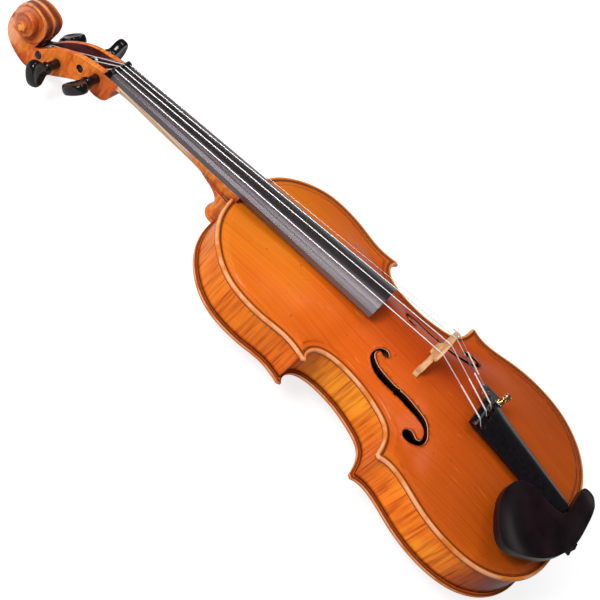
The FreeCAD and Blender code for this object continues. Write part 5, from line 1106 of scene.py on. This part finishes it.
# floor, light and camera
lighting = {
    "sky": 0.38, "ceiling": {"From Min": 0.0, "From Max": 0.18, "To Min": 1.0, "To Max": 0.07},
    "lamps": {"key": ((-0.8, 0.5, 0.85), (0, 0.02, 0.04), (0.4, 0.4), 11.9, (1.0, 0.98, 0.97)),
              "overhead": ((0.21, 0.45, 1.4), (0.21, 0.45, 0), (0.35, 1.0), 6.3, (1.0, 0.92, 0.97))},
}  # each lamp has its place, aim, width and depth, power and colour
floorPlan = {"reach": 6.0, "colour": (0.42, 0.42, 0.42), "seen": 0.78, "mirrored": 0.25}
view = {"lens": 65.1, "sensor": 36, "clip": (0.01, 30), "place": (-0.63887, -0.025928, 0.596162),
        "right": (0.48225, -0.69185, 0.53738), "up": (0.4548, 0.72201, 0.5214),
        "back": (-0.74873, -0.00705, 0.66284)}


# White to the camera, a white horizon under a dim ceiling in reflections, and a plain level as light
def pickRays(world):
    world.use_nodes = True
    tree = world.node_tree
    add, link = tree.nodes.new, tree.links.new
    plain, white, mirror = tree.nodes["Background"], add("ShaderNodeBackground"), add("ShaderNodeBackground")
    for node in (plain, white, mirror):
        node.inputs["Color"].default_value = (1, 1, 1, 1)
    plain.inputs["Strength"].default_value = lighting["sky"]
    white.inputs["Strength"].default_value = 1.0
    height = add("ShaderNodeSeparateXYZ")
    link(add("ShaderNodeTexCoord").outputs["Generated"], height.inputs[0])
    fall = add("ShaderNodeMapRange")
    fall.interpolation_type = "SMOOTHSTEP"
    for name, value in lighting["ceiling"].items():
        fall.inputs[name].default_value = value
    link(height.outputs["Z"], fall.inputs["Value"])
    link(fall.outputs["Result"], mirror.inputs["Strength"])
    rays = add("ShaderNodeLightPath")
    reflected = add("ShaderNodeMath")
    reflected.operation = "MAXIMUM"
    link(rays.outputs["Is Glossy Ray"], reflected.inputs[0])
    link(rays.outputs["Is Transmission Ray"], reflected.inputs[1])
    inner, outer = add("ShaderNodeMixShader"), add("ShaderNodeMixShader")
    for mixer, parts in ((inner, (reflected, plain, mirror)), (outer, (None, inner, white))):
        for socket, part in zip(mixer.inputs, parts):
            if part is not None:
                link(part.outputs[0], socket)
    link(rays.outputs["Is Camera Ray"], outer.inputs[0])
    link(outer.outputs[0], tree.nodes["World Output"].inputs["Surface"])


def addLamp(name, stand, aim, size, power, colour):
    light = bpy.data.lights.new(name, "AREA")
    light.shape = "RECTANGLE"
    light.size, light.size_y = size
    light.energy = power
    light.color = colour
    lamp = bpy.data.objects.new(name, light)
    lamp.location = stand
    lamp.rotation_euler = (Vector(aim) - Vector(stand)).to_track_quat("-Z", "Y").to_euler()
    bpy.context.collection.objects.link(lamp)


world = bpy.data.worlds.new("studio")
bpy.context.scene.world = world
pickRays(world)
for name, settings in lighting["lamps"].items():
    addLamp(name, *settings)

floorMesh = bpy.data.meshes.new("floor")
reach = floorPlan["reach"]
floorMesh.from_pydata([(-reach, -reach, 0), (reach, -reach, 0), (reach, reach, 0), (-reach, reach, 0)], [],
                      [(0, 1, 2, 3)])
floor = bpy.data.objects.new("floor", floorMesh)
bpy.context.collection.objects.link(floor)
floorLook = newMaterial("floor", floorPlan["colour"], 0.9, specular=0.1)
floorGraph = Graph(floorLook)
floorRays = floorGraph.add("ShaderNodeLightPath")
seen = floorGraph.times(floorRays.outputs["Is Camera Ray"], floorPlan["seen"])
seen = floorGraph.line(floorRays.outputs["Is Glossy Ray"], floorPlan["mirrored"], seen)
floorGraph.shader.inputs["Emission Color"].default_value = (1, 1, 1, 1)
floorGraph.link(seen, floorGraph.shader.inputs["Emission Strength"])
floorMesh.materials.append(floorLook)

lens = bpy.data.cameras.new("camera")
lens.lens = view["lens"]
lens.sensor_width = view["sensor"]
lens.clip_start, lens.clip_end = view["clip"]
camera = bpy.data.objects.new("camera", lens)
stance = Matrix((view["right"], view["up"], view["back"])).transposed().to_4x4()
stance.translation = view["place"]
camera.matrix_world = stance
bpy.context.collection.objects.link(camera)
bpy.context.scene.camera = camera
bpy.context.scene.view_settings.view_transform = "Standard"
print("stage ready")
